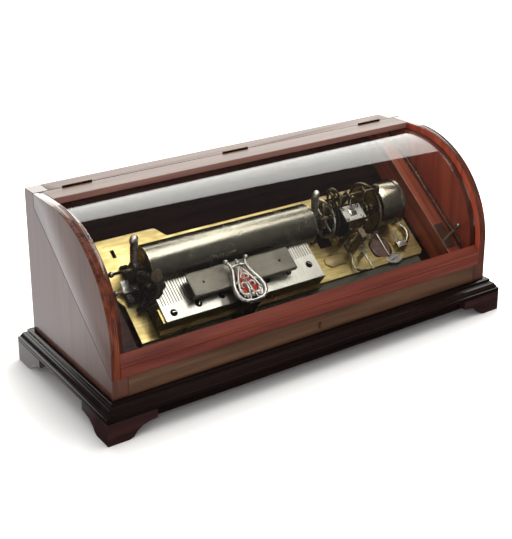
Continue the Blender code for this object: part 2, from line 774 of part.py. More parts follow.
def make_hinges(lid):
    """Three butt hinges let into the joint: two outer knuckles on the case leaf, one on the lid leaf."""
    strip = bpy.data.objects["top_strip"]
    rail = bpy.data.objects["lid_top_rail"]
    knuckle = HINGE_LENGTH * HINGE_KNUCKLE_SHARE
    leaf_near = HINGE_LEAF / 4
    leaf_top = HINGE_RADIUS - HINGE_RADIUS / 3
    leaf_low = leaf_top + HINGE_LEAF_DROP
    notch = HINGE_LEAF + leaf_near + 2 * FIT
    half = HINGE_LENGTH / 2
    for name, x in (("left", -HINGE_SPACING), ("middle", 0), ("right", HINGE_SPACING)):
        pin = [
            (0, half),
            (HINGE_RADIUS, half),
            (HINGE_RADIUS, knuckle / 2),
            (HINGE_PIN_RADIUS, knuckle / 2),
            (HINGE_PIN_RADIUS, -knuckle / 2),
            (HINGE_RADIUS, -knuckle / 2),
            (HINGE_RADIUS, -half),
            (0, -half),
        ]
        case_leaf = turned(
            "hinge_case_leaf_" + name, pin, "X", (x, HINGE_Y, HINGE_Z), "brass", None, SMALL_STEPS
        )
        plate_name = case_leaf.name + "_plate"
        flap = [(leaf_near, -leaf_low), (leaf_near + HINGE_LEAF, -leaf_low)]
        flap += [(leaf_near + HINGE_LEAF, -leaf_top / 4), (leaf_near, -leaf_top / 4)]
        for side in (-1, 1):
            width = half - knuckle / 2 - 2 * FIT
            middle = x + side * (knuckle / 2 + 2 * FIT + width / 2)
            piece = plate(
                plate_name + ("_a" if side < 0 else "_b"),
                [flap],
                width,
                "X",
                (middle, HINGE_Y, HINGE_Z),
                "brass",
            )
            combine(case_leaf, piece, "UNION")
        ring = [
            (HINGE_RADIUS, knuckle / 2 - FIT),
            (HINGE_RADIUS, -knuckle / 2 + FIT),
            (HINGE_PIN_RADIUS + FIT, -knuckle / 2 + FIT),
            (HINGE_PIN_RADIUS + FIT, knuckle / 2 - FIT),
        ]
        lid_leaf = turned(
            "hinge_lid_leaf_" + name, ring, "X", (x, 0, 0), "brass", lid, SMALL_STEPS, closed=True
        )
        reach = HINGE_PIN_RADIUS + 2 * FIT
        flap = [(-leaf_near - HINGE_LEAF, -leaf_low), (-leaf_near, -leaf_low)]
        flap += [(-leaf_near, -reach), (-leaf_near - HINGE_LEAF, -reach)]
        piece = plate(lid_leaf.name + "_plate", [flap], knuckle - 2 * FIT, "X", (x, 0, 0), "brass", lid)
        combine(lid_leaf, piece, "UNION")
        low_z = BODY_TOP - HINGE_LEAF_DROP - 2 * HINGE_RADIUS
        for side, board in ((1, strip), (-1, rail)):
            edge = HINGE_LINE if side > 0 else LID_BACK
            y_low, y_high = sorted((edge - side * CUT_OVERRUN / 4, edge + side * notch))
            cutter = block(
                board.name + "_notch_" + name,
                (x - half - FIT, y_low, low_z),
                (x + half + FIT, y_high, BODY_TOP + CUT_OVERRUN),
                "brass",
            )
            combine(board, cutter, "DIFFERENCE")


def make_stay(seam_frame):
    """The lid stay: an arm pivoted on the right cheek, and the bracket with its knob on the ledge."""
    arm_x = CHEEK_INNER - FIT - STAY_BOSS - STAY_THICK / 2
    half = STAY_WIDTH / 2
    arm = arc((0, 0), half, math.radians(-90), math.radians(90), 6)
    arm += arc((-STAY_LENGTH + half, 0), half, math.radians(90), math.radians(270), 6)
    pivot = empty("stay_axis", (0, STAY_PIVOT_ALONG, STAY_PIVOT_ABOVE), parent=seam_frame)
    part = plate("stay_arm", [arm], STAY_THICK, "X", (arm_x, 0, 0), "steel", pivot)
    boss_length = STAY_BOSS + STAY_THICK / 2
    boss = rod(
        "stay_arm_boss", STAY_WIDTH / 3, boss_length, "X", (arm_x + boss_length / 2, 0, 0), "steel", pivot
    )
    combine(part, boss, "UNION")

    left = LINING_INNER + FIT
    foot = rounded(
        rectangle((left, BRACKET_START), (left + BRACKET_WIDTH, BRACKET_START + BRACKET_LENGTH)),
        BRACKET_THICK,
    )
    top = BRACKET_THICK + FIT
    part = plate(
        "stay_bracket", [foot], BRACKET_THICK, "Z", (0, 0, FIT + BRACKET_THICK / 2), "steel", seam_frame
    )
    knob_h = top + BRACKET_POST_HEIGHT + BRACKET_KNOB_RADIUS / 2
    knob = ball_profile(BRACKET_KNOB_RADIUS, knob_h)
    knob = [point for point in knob if point[0] > BRACKET_POST_RADIUS or point[1] > knob_h]
    profile = [(0, knob_h + BRACKET_KNOB_RADIUS)] + knob
    profile += [(BRACKET_POST_RADIUS, knob[-1][1] - FIT), (BRACKET_POST_RADIUS, top / 2), (0, top / 2)]
    post_x = left + BRACKET_WIDTH - BRACKET_POST_RADIUS
    post = turned(
        "stay_bracket_post", profile, "Z", (post_x, BRACKET_POST_ALONG, 0), "steel", seam_frame, SMALL_STEPS
    )
    combine(part, post, "UNION")


def bed_outline():
    """The bedplate in plan, counter-clockwise from its front left corner."""
    left = -BED_LEFT
    right = BED_RIGHT
    front = [(left + BED_STEP, BED_FRONT_LEFT)]
    front += ogee((-BED_OGEE_FRONT, BED_FRONT_LEFT), (-BED_OGEE_FRONT + BED_OGEE_RUN, BED_FRONT))
    corner = BED_CORNER
    front += [(right - corner, BED_FRONT)]
    side = [(right, BED_FRONT + corner), (right, BED_BACK - corner), (right - corner, BED_BACK)]
    back = ogee((-BED_OGEE_BACK + BED_OGEE_RUN, BED_BACK), (-BED_OGEE_BACK, BED_BACK_LEFT))
    edge = [(left + corner, BED_BACK_LEFT), (left, BED_BACK_LEFT - corner)]
    step = ogee((BED_STEP_HIGH, left), (BED_STEP_LOW, left + BED_STEP))
    edge += [(x, s) for s, x in step]
    return front + side + back + edge


def make_bed(bed):
    """The sloping deck board and the gilt bedplate on it."""
    deck_top = -BED_THICK - FIT
    deck_x = LINING_INNER - FIT
    great = GREAT_WHEEL_TEETH * MODULE / 2 + MODULE
    reach = math.sqrt(max(great ** 2 - AXIS_H ** 2, 0)) + BARREL_CLEAR
    barrel = BARREL_RADIUS + BARREL_RIM
    barrel_reach = math.sqrt(max(barrel ** 2 - AXIS_H ** 2, 0)) + BARREL_CLEAR
    slot_left = GREAT_WHEEL_X - GREAT_WHEEL_THICK / 2 - BARREL_CLEAR
    slot_right = GREAT_WHEEL_X + GREAT_WHEEL_THICK / 2 + BARREL_CLEAR
    slot = rectangle((slot_left, AXIS_S - reach), (slot_right, AXIS_S + reach))
    well_right = BARREL_RIGHT + BARREL_CLEAR
    well = [
        (slot_left, AXIS_S - reach),
        (slot_right, AXIS_S - reach),
        (slot_right, AXIS_S - barrel_reach),
        (well_right, AXIS_S - barrel_reach),
        (well_right, AXIS_S + barrel_reach),
        (slot_right, AXIS_S + barrel_reach),
        (slot_right, AXIS_S + reach),
        (slot_left, AXIS_S + reach),
    ]
    wheels = rectangle((WHEEL_OPENING_LEFT, WHEEL_OPENING_FRONT), (WHEEL_OPENING_RIGHT, WHEEL_OPENING_BACK))
    cutout = rounded(
        rectangle((CUTOUT_LEFT, CUTOUT_FRONT), (CUTOUT_RIGHT, CUTOUT_BACK)), (CUTOUT_BACK - CUTOUT_FRONT) / 3
    )
    slit = rectangle((-SLOT_LEFT, SLOT_FRONT), (-SLOT_LEFT + SLOT_WIDTH, SLOT_FRONT + SLOT_LENGTH))
    plate(
        "bedplate",
        [bed_outline(), well, wheels, cutout, slit],
        BED_THICK,
        "Z",
        (0, 0, -BED_THICK / 2),
        "gilt",
        bed,
    )
    bed_y = FRONT + BED_BELOW_SEAM * math.sin(TILT)
    below = DECK_THICK - deck_top
    deck_back = (INNER_BACK - FIT - bed_y - below * math.sin(TILT)) / math.cos(TILT)
    deck = rectangle((-deck_x, DECK_FRONT), (deck_x, deck_back))
    plate("movement_deck", [deck, slot], DECK_THICK, "Z", (0, 0, deck_top - DECK_THICK / 2), "deck", bed)


def bearing_outline(foot, neck, head, horn):
    """A bearing pillar seen along the axis: a foot, a waisted neck, a round head and an optional horn."""
    low = FIT - AXIS_H
    points = [(-foot / 2, low), (foot / 2, low), (foot / 2, low + BEARING_FOOT_HEIGHT)]
    points += [(neck / 2, low + 2 * BEARING_FOOT_HEIGHT)]
    points += arc((0, 0), head, math.radians(-20), math.radians(40), 4)
    if horn:
        points += [(HORN_TIP_S - HORN_WIDTH / 2, HORN_TIP_H - HORN_WIDTH), (HORN_TIP_S, HORN_TIP_H)]
        points += [(HORN_TIP_S - HORN_WIDTH, HORN_TIP_H - HORN_WIDTH / 4)]
    points += arc((0, 0), head, math.radians(70), math.radians(200), 8)
    points += [(-neck / 2, low + 2 * BEARING_FOOT_HEIGHT), (-foot / 2, low + BEARING_FOOT_HEIGHT)]
    return points


def make_bearings(bed):
    """Pillars that carry the cylinder arbor and the barrel, and the rod at the left end."""
    for name, x in (("left", -BEARING_LEFT), ("right", BEARING_RIGHT)):
        outline = bearing_outline(BEARING_FOOT, BEARING_NECK, BEARING_HEAD, True)
        bore = circle(ARBOR_RADIUS + FIT)
        plate(
            "bearing_" + name,
            [outline, bore],
            BEARING_THICK,
            "X",
            (x + BEARING_THICK / 2, AXIS_S, AXIS_H),
            "iron",
            bed,
        )
    outline = bearing_outline(BARREL_BRACKET_FOOT, BEARING_NECK, BEARING_HEAD, False)
    plate(
        "barrel_bracket",
        [outline, circle(WINDING_ARBOR_RADIUS + FIT)],
        BARREL_BRACKET_THICK,
        "X",
        (BARREL_BRACKET + BARREL_BRACKET_THICK / 2, AXIS_S, AXIS_H),
        "iron",
        bed,
    )
    inner = -BEARING_LEFT - ARBOR_OVERHANG - FIT
    length = ROD_END + inner
    ball = ball_profile(ROD_BALL, -length + ROD_BALL)
    ball = [point for point in ball if point[0] > ROD_RADIUS or point[1] < -length + ROD_BALL]
    profile = [(0, 0), (ROD_RADIUS, 0), (ROD_RADIUS, ball[0][1] + FIT)] + ball + [(0, -length)]
    turned("change_rod", profile, "X", (inner, AXIS_S, AXIS_H), "steel", bed, SMALL_STEPS)


def make_cylinder(axis):
    """The pinned cylinder, its arbor with the end plates, and the two wheels at its right end."""
    length = CYLINDER_LEFT + CYLINDER_RIGHT
    middle = (CYLINDER_RIGHT - CYLINDER_LEFT) / 2
    inner = CYLINDER_RADIUS - CYLINDER_WALL
    half = length / 2
    tube = [(CYLINDER_RADIUS, half), (CYLINDER_RADIUS, -half), (inner, -half), (inner, half)]
    turned("cylinder", tube, "X", (middle, 0, 0), "cylinder", axis, TURN_STEPS, closed=True)
    disc = inner - FIT
    right = CYLINDER_RIGHT - ARBOR_RECESS
    left = -CYLINDER_LEFT + ARBOR_RECESS
    far_right = CAGE_LEFT + CAGE_PLATE + ARBOR_OVERHANG
    far_left = -BEARING_LEFT - ARBOR_OVERHANG
    shaft = [
        (0, far_right),
        (ARBOR_RADIUS, far_right),
        (ARBOR_RADIUS, right),
        (disc, right),
        (disc, right - ARBOR_PLATE),
        (ARBOR_RADIUS, right - ARBOR_PLATE),
        (ARBOR_RADIUS, left + ARBOR_PLATE),
        (disc, left + ARBOR_PLATE),
        (disc, left),
        (ARBOR_RADIUS, left),
        (ARBOR_RADIUS, far_left),
        (0, far_left),
    ]
    turned("cylinder_arbor", shaft, "X", (0, 0, 0), "brass", axis, TURN_STEPS)
    bore = ARBOR_RADIUS + FIT
    spoked_wheel(
        "cylinder_wheel", CYLINDER_WHEEL_TEETH, WHEEL_THICK, CYLINDER_WHEEL_X, bore, LAY_ANGLE, "steel", axis
    )
    spoked_wheel(
        "governor_drive_wheel",
        DRIVE_WHEEL_TEETH,
        WHEEL_THICK,
        DRIVE_WHEEL_X,
        bore,
        GOVERNOR_ANGLE,
        "iron",
        axis,
    )


def make_barrel(axis):
    """Spring barrel with its hub, the mainspring in it and the great wheel on the hub."""
    bore = WINDING_ARBOR_RADIUS + FIT
    hub_end = GREAT_WHEEL_X + GREAT_WHEEL_THICK / 2 + FIT
    wall = BARREL_WALL
    rim = BARREL_RADIUS + BARREL_RIM
    right = BARREL_RIGHT
    profile = [
        (bore, right),
        (rim, right),
        (rim, right - BARREL_RIM_WIDTH),
        (BARREL_RADIUS, right - BARREL_RIM_WIDTH),
        (BARREL_RADIUS, BARREL_LEFT),
        (BARREL_HUB, BARREL_LEFT),
        (BARREL_HUB, hub_end),
        (bore, hub_end),
        (bore, BARREL_LEFT + wall),
        (BARREL_RADIUS - wall, BARREL_LEFT + wall),
        (BARREL_RADIUS - wall, right - wall),
        (bore, right - wall),
    ]
    turned("spring_barrel", profile, "X", (0, 0, 0), "nickel", axis, TURN_STEPS, closed=True)
    outer = BARREL_RADIUS - wall - FIT
    inner = bore + SPRING_CLEAR
    low = BARREL_LEFT + wall + FIT
    high = right - wall - FIT
    ring = [(outer, high), (outer, low), (inner, low), (inner, high)]
    turned("mainspring", ring, "X", (0, 0, 0), "steel", axis, SMALL_STEPS, closed=True)
    spoked_wheel(
        "great_wheel", GREAT_WHEEL_TEETH, GREAT_WHEEL_THICK, GREAT_WHEEL_X, bore, LAY_ANGLE, "brass", axis
    )


def make_winding_arbor(axis):
    """The arbor that the barrel turns on, with the ratchet disc at its left end."""
    right = BARREL_BRACKET + BARREL_BRACKET_THICK + ARBOR_OVERHANG
    ratchet_right = GREAT_WHEEL_X - GREAT_WHEEL_THICK / 2 - RATCHET_GAP
    ratchet_left = ratchet_right - RATCHET_THICK
    left = CAGE_RIGHT - ARBOR_OVERHANG
    profile = [
        (0, right),
        (WINDING_ARBOR_RADIUS, right),
        (WINDING_ARBOR_RADIUS, ratchet_right),
        (RATCHET_RADIUS, ratchet_right),
        (RATCHET_RADIUS, ratchet_left),
        (WINDING_ARBOR_RADIUS, ratchet_left),
        (WINDING_ARBOR_RADIUS, left),
        (0, left),
    ]
    turned("winding_arbor", profile, "X", (0, 0, 0), "steel", axis, SMALL_STEPS)


def make_lay_shaft(axis):
    """The lay shaft: its wheel meshes with the cylinder wheel, its pinion with the great wheel."""
    left = CYLINDER_WHEEL_X - WHEEL_THICK
    right = GREAT_WHEEL_X + PINION_FACE / 2 + ARBOR_OVERHANG
    drum_left = CYLINDER_WHEEL_X + WHEEL_THICK / 2 + LAY_DRUM_GAP
    drum_right = drum_left + LAY_DRUM
    profile = [
        (0, right),
        (LAY_SHAFT_RADIUS, right),
        (LAY_SHAFT_RADIUS, drum_right),
        (LAY_DRUM_RADIUS, drum_right),
        (LAY_DRUM_RADIUS, drum_left),
        (LAY_SHAFT_RADIUS, drum_left),
        (LAY_SHAFT_RADIUS, left),
        (0, left),
    ]
    shaft = turned("lay_shaft", profile, "X", (0, 0, 0), "brass", axis, SMALL_STEPS)
    phase = LAY_ANGLE + math.pi + math.pi / LAY_PINION_TEETH
    outline = [toothed(LAY_PINION_TEETH, phase)]
    pinion = plate("lay_pinion", outline, PINION_FACE, "X", (GREAT_WHEEL_X, 0, 0), "steel", axis)
    combine(shaft, pinion, "UNION")
    phase = LAY_ANGLE + math.pi + math.pi / LAY_WHEEL_TEETH
    outline = [toothed(LAY_WHEEL_TEETH, phase), circle(LAY_SHAFT_RADIUS + FIT)]
    outline += windows(LAY_WHEEL_TEETH * MODULE / 2 - RIM, WHEEL_HUB, SPOKE, SPOKES)
    plate("lay_wheel", outline, WHEEL_THICK, "X", (CYLINDER_WHEEL_X, 0, 0), "brass", axis)


def make_governor(bed, arbor_axis, fly_axis):
    """Governor arbor with pinion and worm wheel, the fly with its worm, and the cock that holds the fly."""
    left = DRIVE_WHEEL_X - GOVERNOR_PINION_FACE / 2 - ARBOR_OVERHANG
    right = CAGE_RIGHT + CAGE_PLATE + ARBOR_OVERHANG
    worm_left = WORM_WHEEL_X - WORM_WHEEL_THICK / 2
    worm_right = WORM_WHEEL_X + WORM_WHEEL_THICK / 2
    profile = [
        (0, right),
        (GOVERNOR_SHAFT_RADIUS, right),
        (GOVERNOR_SHAFT_RADIUS, worm_right),
        (WORM_WHEEL_RADIUS, worm_right),
        (WORM_WHEEL_RADIUS, worm_left),
        (GOVERNOR_SHAFT_RADIUS, worm_left),
        (GOVERNOR_SHAFT_RADIUS, left),
        (0, left),
    ]
    arbor = turned("governor_arbor", profile, "X", (0, 0, 0), "brass", arbor_axis, SMALL_STEPS)
    phase = GOVERNOR_ANGLE + math.pi + math.pi / GOVERNOR_PINION_TEETH
    pinion = plate(
        "governor_pinion",
        [toothed(GOVERNOR_PINION_TEETH, phase)],
        GOVERNOR_PINION_FACE,
        "X",
        (DRIVE_WHEEL_X, 0, 0),
        "steel",
        arbor_axis,
    )
    combine(arbor, pinion, "UNION")

    worm_h = arbor_axis.location.z
    top = FLY_TOP - FIT
    low = FLY_FOOT + FIT
    profile = [
        (0, top),
        (FLY_SHAFT_RADIUS, top),
        (FLY_SHAFT_RADIUS, worm_h + WORM_LENGTH / 2),
        (WORM_RADIUS, worm_h + WORM_LENGTH / 2),
        (WORM_RADIUS, worm_h - WORM_LENGTH / 2),
        (FLY_SHAFT_RADIUS, worm_h - WORM_LENGTH / 2),
        (FLY_SHAFT_RADIUS, low),
        (0, low),
    ]
    fly = turned("governor_fly", profile, "Z", (0, 0, 0), "steel", fly_axis, SMALL_STEPS)
    blade_top = top - FLY_SHAFT_RADIUS
    blade = block(
        "governor_blades",
        (-FLY_RADIUS, -FLY_BLADE / 2, blade_top - FLY_HEIGHT),
        (FLY_RADIUS, FLY_BLADE / 2, blade_top),
        "steel",
        fly_axis,
    )
    combine(fly, blade, "UNION")

    back = COCK_POST - COCK_REACH
    bracket = [
        (back, FIT),
        (COCK_POST, FIT),
        (COCK_POST, FLY_FOOT),
        (back + COCK_POST, FLY_FOOT),
        (back + COCK_POST, FLY_TOP),
        (COCK_POST, FLY_TOP),
        (COCK_POST, FLY_TOP + COCK_ARM),
        (back, FLY_TOP + COCK_ARM),
    ]
    s = fly_axis.location.y
    plate("governor_cock", [bracket], COCK_WIDTH, "X", (WORM_WHEEL_X, s, 0), "brass", bed)


def make_cage(bed, lay, governor):
    """Two upright plates that carry the shafts of the train, and the plate across their top."""
    outline = [
        (CAGE_FRONT, FIT),
        (CAGE_BACK, FIT),
        (CAGE_BACK, CAGE_LEG),
        (CAGE_HORN_BACK, CAGE_SHOULDER),
        (CAGE_HORN_BACK, CAGE_HORN_TOP),
        (CAGE_HORN_FRONT, CAGE_HORN_TOP),
        (CAGE_HORN_FRONT, CAGE_TOP - FIT),
        (CAGE_TOP_FRONT, CAGE_TOP - FIT),
        (CAGE_FRONT, CAGE_SHOULDER),
    ]
    lay_spot = (lay.location.y, lay.location.z)
    governor_spot = (governor.location.y, governor.location.z)
    holes = {
        "left": circle(ARBOR_RADIUS + FIT, SMALL_STEPS, (AXIS_S, AXIS_H)),
        "right": circle(WINDING_ARBOR_RADIUS + FIT, SMALL_STEPS, (AXIS_S, AXIS_H)),
    }
    for name, x in (("left", CAGE_LEFT), ("right", CAGE_RIGHT)):
        bores = [
            holes[name],
            circle(LAY_SHAFT_RADIUS + FIT, SMALL_STEPS, lay_spot),
            circle(GOVERNOR_SHAFT_RADIUS + FIT, SMALL_STEPS, governor_spot),
        ]
        middle = x + CAGE_PLATE / 2
        plate("cage_plate_" + name, [outline] + bores, CAGE_PLATE, "X", (middle, 0, 0), "steel", bed)
    block(
        "cage_top_plate",
        (CAGE_LEFT - CAGE_TOP_OVERHANG, CAGE_TOP_FRONT, CAGE_TOP),
        (CAGE_RIGHT + CAGE_PLATE, CAGE_HORN_FRONT - FIT, CAGE_TOP + CAGE_TOP_PLATE),
        "steel",
        bed,
    )


def make_comb(bed):
    """The steel comb with its teeth up to the cylinder, on its iron base."""
    length = COMB_LEFT + COMB_RIGHT
    pitch = length / COMB_TEETH
    gap = pitch * COMB_GAP_SHARE
    tip = AXIS_S - CYLINDER_RADIUS - FIT
    points = [(COMB_RIGHT, COMB_FRONT), (COMB_RIGHT, tip)]
    for tooth in range(COMB_TEETH):
        x = COMB_RIGHT - tooth * pitch
        root = ROOT_RIGHT + (ROOT_LEFT - ROOT_RIGHT) * (tooth + 1) / COMB_TEETH
        if tooth < COMB_TEETH - 1:
            points += [(x - pitch + gap, tip), (x - pitch + gap, root), (x - pitch, root), (x - pitch, tip)]
    points += [(-COMB_LEFT, tip), (-COMB_LEFT, COMB_FRONT)]
    plate("comb", [points], COMB_THICK, "Z", (0, 0, COMB_UNDER + COMB_THICK / 2), "steel", bed)
    top = COMB_UNDER - FIT
    flange = COMB_BASE_FLANGE
    inset = COMB_FRONT - COMB_BASE_FRONT
    outline = [
        (COMB_BASE_FRONT, FIT),
        (COMB_BASE_BACK, FIT),
        (COMB_BASE_BACK, flange),
        (COMB_BASE_TOP_BACK, flange * 3 / 2),
        (COMB_BASE_TOP_BACK, top),
        (COMB_BASE_FRONT + inset, top),
        (COMB_BASE_FRONT + inset, flange * 3 / 2),
        (COMB_BASE_FRONT, flange),
    ]
    middle = (COMB_RIGHT - COMB_LEFT) / 2
    plate("comb_base", [outline], length + 2 * COMB_BASE_OVERHANG, "X", (middle, 0, 0), "iron", bed)


def make_zither(bed, axis):
    """The zither plate and its tissue roll, which tilt together on the edge nearest the front."""
    s, h = axis.location.y, axis.location.z
    sheet = [
        (ZITHER_FRONT, ZITHER_TOP - ZITHER_LIP),
        (ZITHER_FRONT + ZITHER_THICK, ZITHER_TOP - ZITHER_LIP),
        (ZITHER_FRONT + ZITHER_THICK, ZITHER_TOP - ZITHER_THICK),
        (ZITHER_BACK, ZITHER_TOP - ZITHER_THICK),
        (ZITHER_BACK, ZITHER_TOP),
        (ZITHER_FRONT, ZITHER_TOP),
    ]
    sheet = [(across - s, up - h) for across, up in sheet]
    length = ZITHER_LEFT + ZITHER_RIGHT
    middle = (ZITHER_RIGHT - ZITHER_LEFT) / 2
    plate("zither_plate", [sheet], length, "X", (middle, 0, 0), "nickel", axis)
    roll_h = ZITHER_TOP - ZITHER_THICK - FIT - ROLL_RADIUS
    rod(
        "zither_roll",
        ROLL_RADIUS,
        length - 2 * ROLL_MARGIN,
        "X",
        (middle, ROLL_S - s, roll_h - h),
        "felt",
        axis,
        SMALL_STEPS,
    )
    lyre_low = LYRE_H - FIT
    column = COMB_BASE_FRONT - FIT
    reach = ZITHER_FRONT - FIT
    bracket = [
        (LYRE_BRACKET_FRONT, -BED_THICK),
        (column, -BED_THICK),
        (column, LYRE_ARM_LOW),
        (reach, LYRE_ARM_END_LOW),
        (reach, LYRE_ARM_TOP),
        (column, LYRE_ARM_TOP),
        (column, lyre_low),
        (LYRE_BRACKET_FRONT, lyre_low),
    ]
    plate("lyre_bracket", [bracket], LYRE_BRACKET_WIDTH, "X", (-LYRE_X, 0, 0), "iron", bed)
    right = [(across * LYRE_WIDTH, up * LYRE_LENGTH) for across, up in LYRE_SHARES]
    window = [(across * LYRE_WIDTH, up * LYRE_LENGTH) for across, up in LYRE_WINDOW_SHARES]
    left = [(-across, up) for across, up in reversed(right)]
    other = [(-across, up) for across, up in reversed(window)]
    at = (-LYRE_X, LYRE_FRONT, LYRE_H + LYRE_THICK / 2)
    plate("lyre_ornament", [right + left, window, other], LYRE_THICK, "Z", at, "steel", bed)


def make_lever(name, axis, forward, backward):
    """A control lever: a round hub on the bedplate and a rod with a knob over it."""
    top = LEVER_HEIGHT + LEVER_RADIUS * 2
    hub = [(0, top), (LEVER_HUB, top), (LEVER_HUB, FIT), (0, FIT)]
    lever = turned(name, hub, "Z", (0, 0, 0), "steel", axis, SMALL_STEPS)
    length = forward + backward
    half = length / 2
    knob = ball_profile(LEVER_KNOB, 0)
    knob = [point for point in knob if point[0] > LEVER_RADIUS or point[1] > 0]
    knob = [(r, h + half) for r, h in knob]
    profile = [(0, half + LEVER_KNOB)] + knob
    profile += [(LEVER_RADIUS, knob[-1][1] - FIT), (LEVER_RADIUS, -half), (0, -half)]
    arm = turned(
        name + "_arm", profile, "Z", (0, (backward - forward) / 2, LEVER_HEIGHT), "steel", axis, SMALL_STEPS
    )
    arm.rotation_euler = (math.radians(90), 0, 0)
    combine(lever, arm, "UNION")


def main():
    make_plinth()
    make_feet()
    make_case()
    lid = empty("lid_axis", (0, HINGE_Y, HINGE_Z))
    make_lid(lid)
    make_hinges(lid)
    seam_frame = empty("seam_frame", (0, FRONT, SEAM_FRONT), (TILT, 0, 0))
    make_stay(seam_frame)
    bed = empty("movement", (0, 0, -BED_BELOW_SEAM), parent=seam_frame)
    make_bed(bed)
    make_bearings(bed)
    make_cylinder(empty("cylinder_axis", (0, AXIS_S, AXIS_H), parent=bed))
    make_barrel(empty("barrel_axis", (0, AXIS_S, AXIS_H), parent=bed))
    make_winding_arbor(empty("winding_axis", (0, AXIS_S, AXIS_H), parent=bed))
    lay_at = (0, AXIS_S + LAY_DISTANCE * math.cos(LAY_ANGLE), AXIS_H + LAY_DISTANCE * math.sin(LAY_ANGLE))
    lay = empty("lay_axis", lay_at, parent=bed)
    make_lay_shaft(lay)
    governor_s = AXIS_S + GOVERNOR_DISTANCE * math.cos(GOVERNOR_ANGLE)
    governor_h = AXIS_H + GOVERNOR_DISTANCE * math.sin(GOVERNOR_ANGLE)
    governor = empty("governor_axis", (0, governor_s, governor_h), parent=bed)
    fly_s = governor_s - WORM_WHEEL_RADIUS - WORM_RADIUS - FIT
    fly = empty("fly_axis", (WORM_WHEEL_X, fly_s, 0), parent=bed)
    make_governor(bed, governor, fly)
    make_cage(bed, lay, governor)
    make_comb(bed)
    zither = empty("zither_axis", (0, ZITHER_FRONT, ZITHER_TOP - ZITHER_LIP), parent=bed)
    make_zither(bed, zither)
    start = empty("start_axis", (START_X, START_S, 0), parent=bed)
    make_lever("start_stop_lever", start, START_REACH, START_BACK)
    change = empty("change_axis", (CHANGE_X, CHANGE_S, 0), parent=bed)
    make_lever("change_lever", change, CHANGE_REACH, CHANGE_BACK)


main()
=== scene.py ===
# %% [markdown]
# # A cylinder music box
#
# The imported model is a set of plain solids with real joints. This lesson dresses those solids: it
# rounds their edges, gives them polish, gilding and steel, adds the screws, pins and trim, and lights
# them on a pale floor. Most pieces are copies of the solids, so they lie exactly where the solids are.

import json
import math
import random

import bmesh
import bpy
from mathutils import Matrix, Vector


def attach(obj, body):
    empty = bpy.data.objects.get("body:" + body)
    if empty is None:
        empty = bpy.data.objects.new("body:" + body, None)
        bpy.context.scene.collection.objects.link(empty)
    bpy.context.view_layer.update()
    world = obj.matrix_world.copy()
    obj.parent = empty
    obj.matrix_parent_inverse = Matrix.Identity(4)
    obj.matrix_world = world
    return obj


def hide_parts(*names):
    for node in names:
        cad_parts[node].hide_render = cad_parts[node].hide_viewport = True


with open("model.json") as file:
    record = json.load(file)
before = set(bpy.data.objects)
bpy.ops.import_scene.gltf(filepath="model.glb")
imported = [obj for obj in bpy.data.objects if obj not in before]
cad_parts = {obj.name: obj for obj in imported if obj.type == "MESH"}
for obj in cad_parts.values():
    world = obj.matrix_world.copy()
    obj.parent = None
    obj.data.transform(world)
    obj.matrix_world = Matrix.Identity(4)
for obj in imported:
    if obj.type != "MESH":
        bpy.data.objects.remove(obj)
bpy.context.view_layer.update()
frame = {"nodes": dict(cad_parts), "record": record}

# %% [markdown]
# ## Where things are
#
# The movement lies on a bed that slopes up to the back. It is easier to think in the bed's own
# directions: x to the right, s up the slope and h square to the bed. One matrix takes such a place to
# the room's directions. Small trim is placed in millimetres on the bed. The sizes below are the few
# that several pieces share.

# %% Sizes and the bed's matrix
MM = 0.001


def in_mm(*sizes):
    """Sizes given in millimetres, as metres."""
    return tuple(size * MM for size in sizes)


TILT = math.atan2(231 * MM, 290 * MM)
SEAM = Matrix.Translation(in_mm(0, -165, 107)) @ Matrix.Rotation(TILT, 4, "X")
BED = SEAM @ Matrix.Translation(in_mm(0, 0, -54))
AXIS = BED @ Matrix.Translation(in_mm(0, 201.5, 45))
CYLINDER_RADIUS = 41 * MM
CYLINDER_LEFT = -297 * MM
CYLINDER_RIGHT = 87 * MM
CASE_HALF = 450 * MM
ARCH_CENTRE = in_mm(45, 156)
ARCH_RADIUS = 210 * MM
print("the bed slopes", round(math.degrees(TILT), 1), "degrees, the cylinder lies at", AXIS.translation[:])

# %% [markdown]
# ## Helpers for finishes
#
# Each finish is a Principled shader with its own pattern. A pattern is a texture read in Object
# coordinates. The Mapping node is used the other way round, as a Texture, so that its scale is simply
# the size in metres of one feature along X, Y and Z: long in one direction and fine in the others makes
# wood grain or a brushed surface. The first two functions make a node and give it its inputs.

# %% Finish helpers
def fed(tree, node, inputs):
    """Gives a node its inputs by name or number: outputs are linked, and anything else is a constant."""
    for name, value in inputs.items():
        if isinstance(value, bpy.types.NodeSocket):
            tree.links.new(value, node.inputs[name])
        else:
            node.inputs[name].default_value = value
    return node


def added(tree, kind, inputs):
    """A new node with its inputs."""
    return fed(tree, tree.nodes.new(kind), inputs)


def shade(material, inputs):
    """Gives a material's own shader some inputs."""
    fed(material.node_tree, material.node_tree.nodes["Principled BSDF"], inputs)


def new_finish(name, roughness, metallic=0.0, colour=(0.5, 0.5, 0.5)):
    """A material whose constant values sit on the shader's own sockets."""
    material = bpy.data.materials.new(name)
    material.use_nodes = True
    shade(material, {"Base Color": (*colour, 1), "Roughness": roughness, "Metallic": metallic})
    return material


def pattern(material, size, detail=4.0, turn=0.0):
    """A noise whose features measure size along X, Y and Z, turned about X where the piece slopes."""
    tree = material.node_tree
    spot = tree.nodes.new("ShaderNodeTexCoord")
    mapping = tree.nodes.new("ShaderNodeMapping")
    mapping.vector_type = "TEXTURE"
    fed(tree, mapping, {"Rotation": (turn, 0, 0), "Scale": size, "Vector": spot.outputs["Object"]})
    inputs = {"Scale": 1, "Detail": detail, "Vector": mapping.outputs["Vector"]}
    return added(tree, "ShaderNodeTexNoise", inputs)


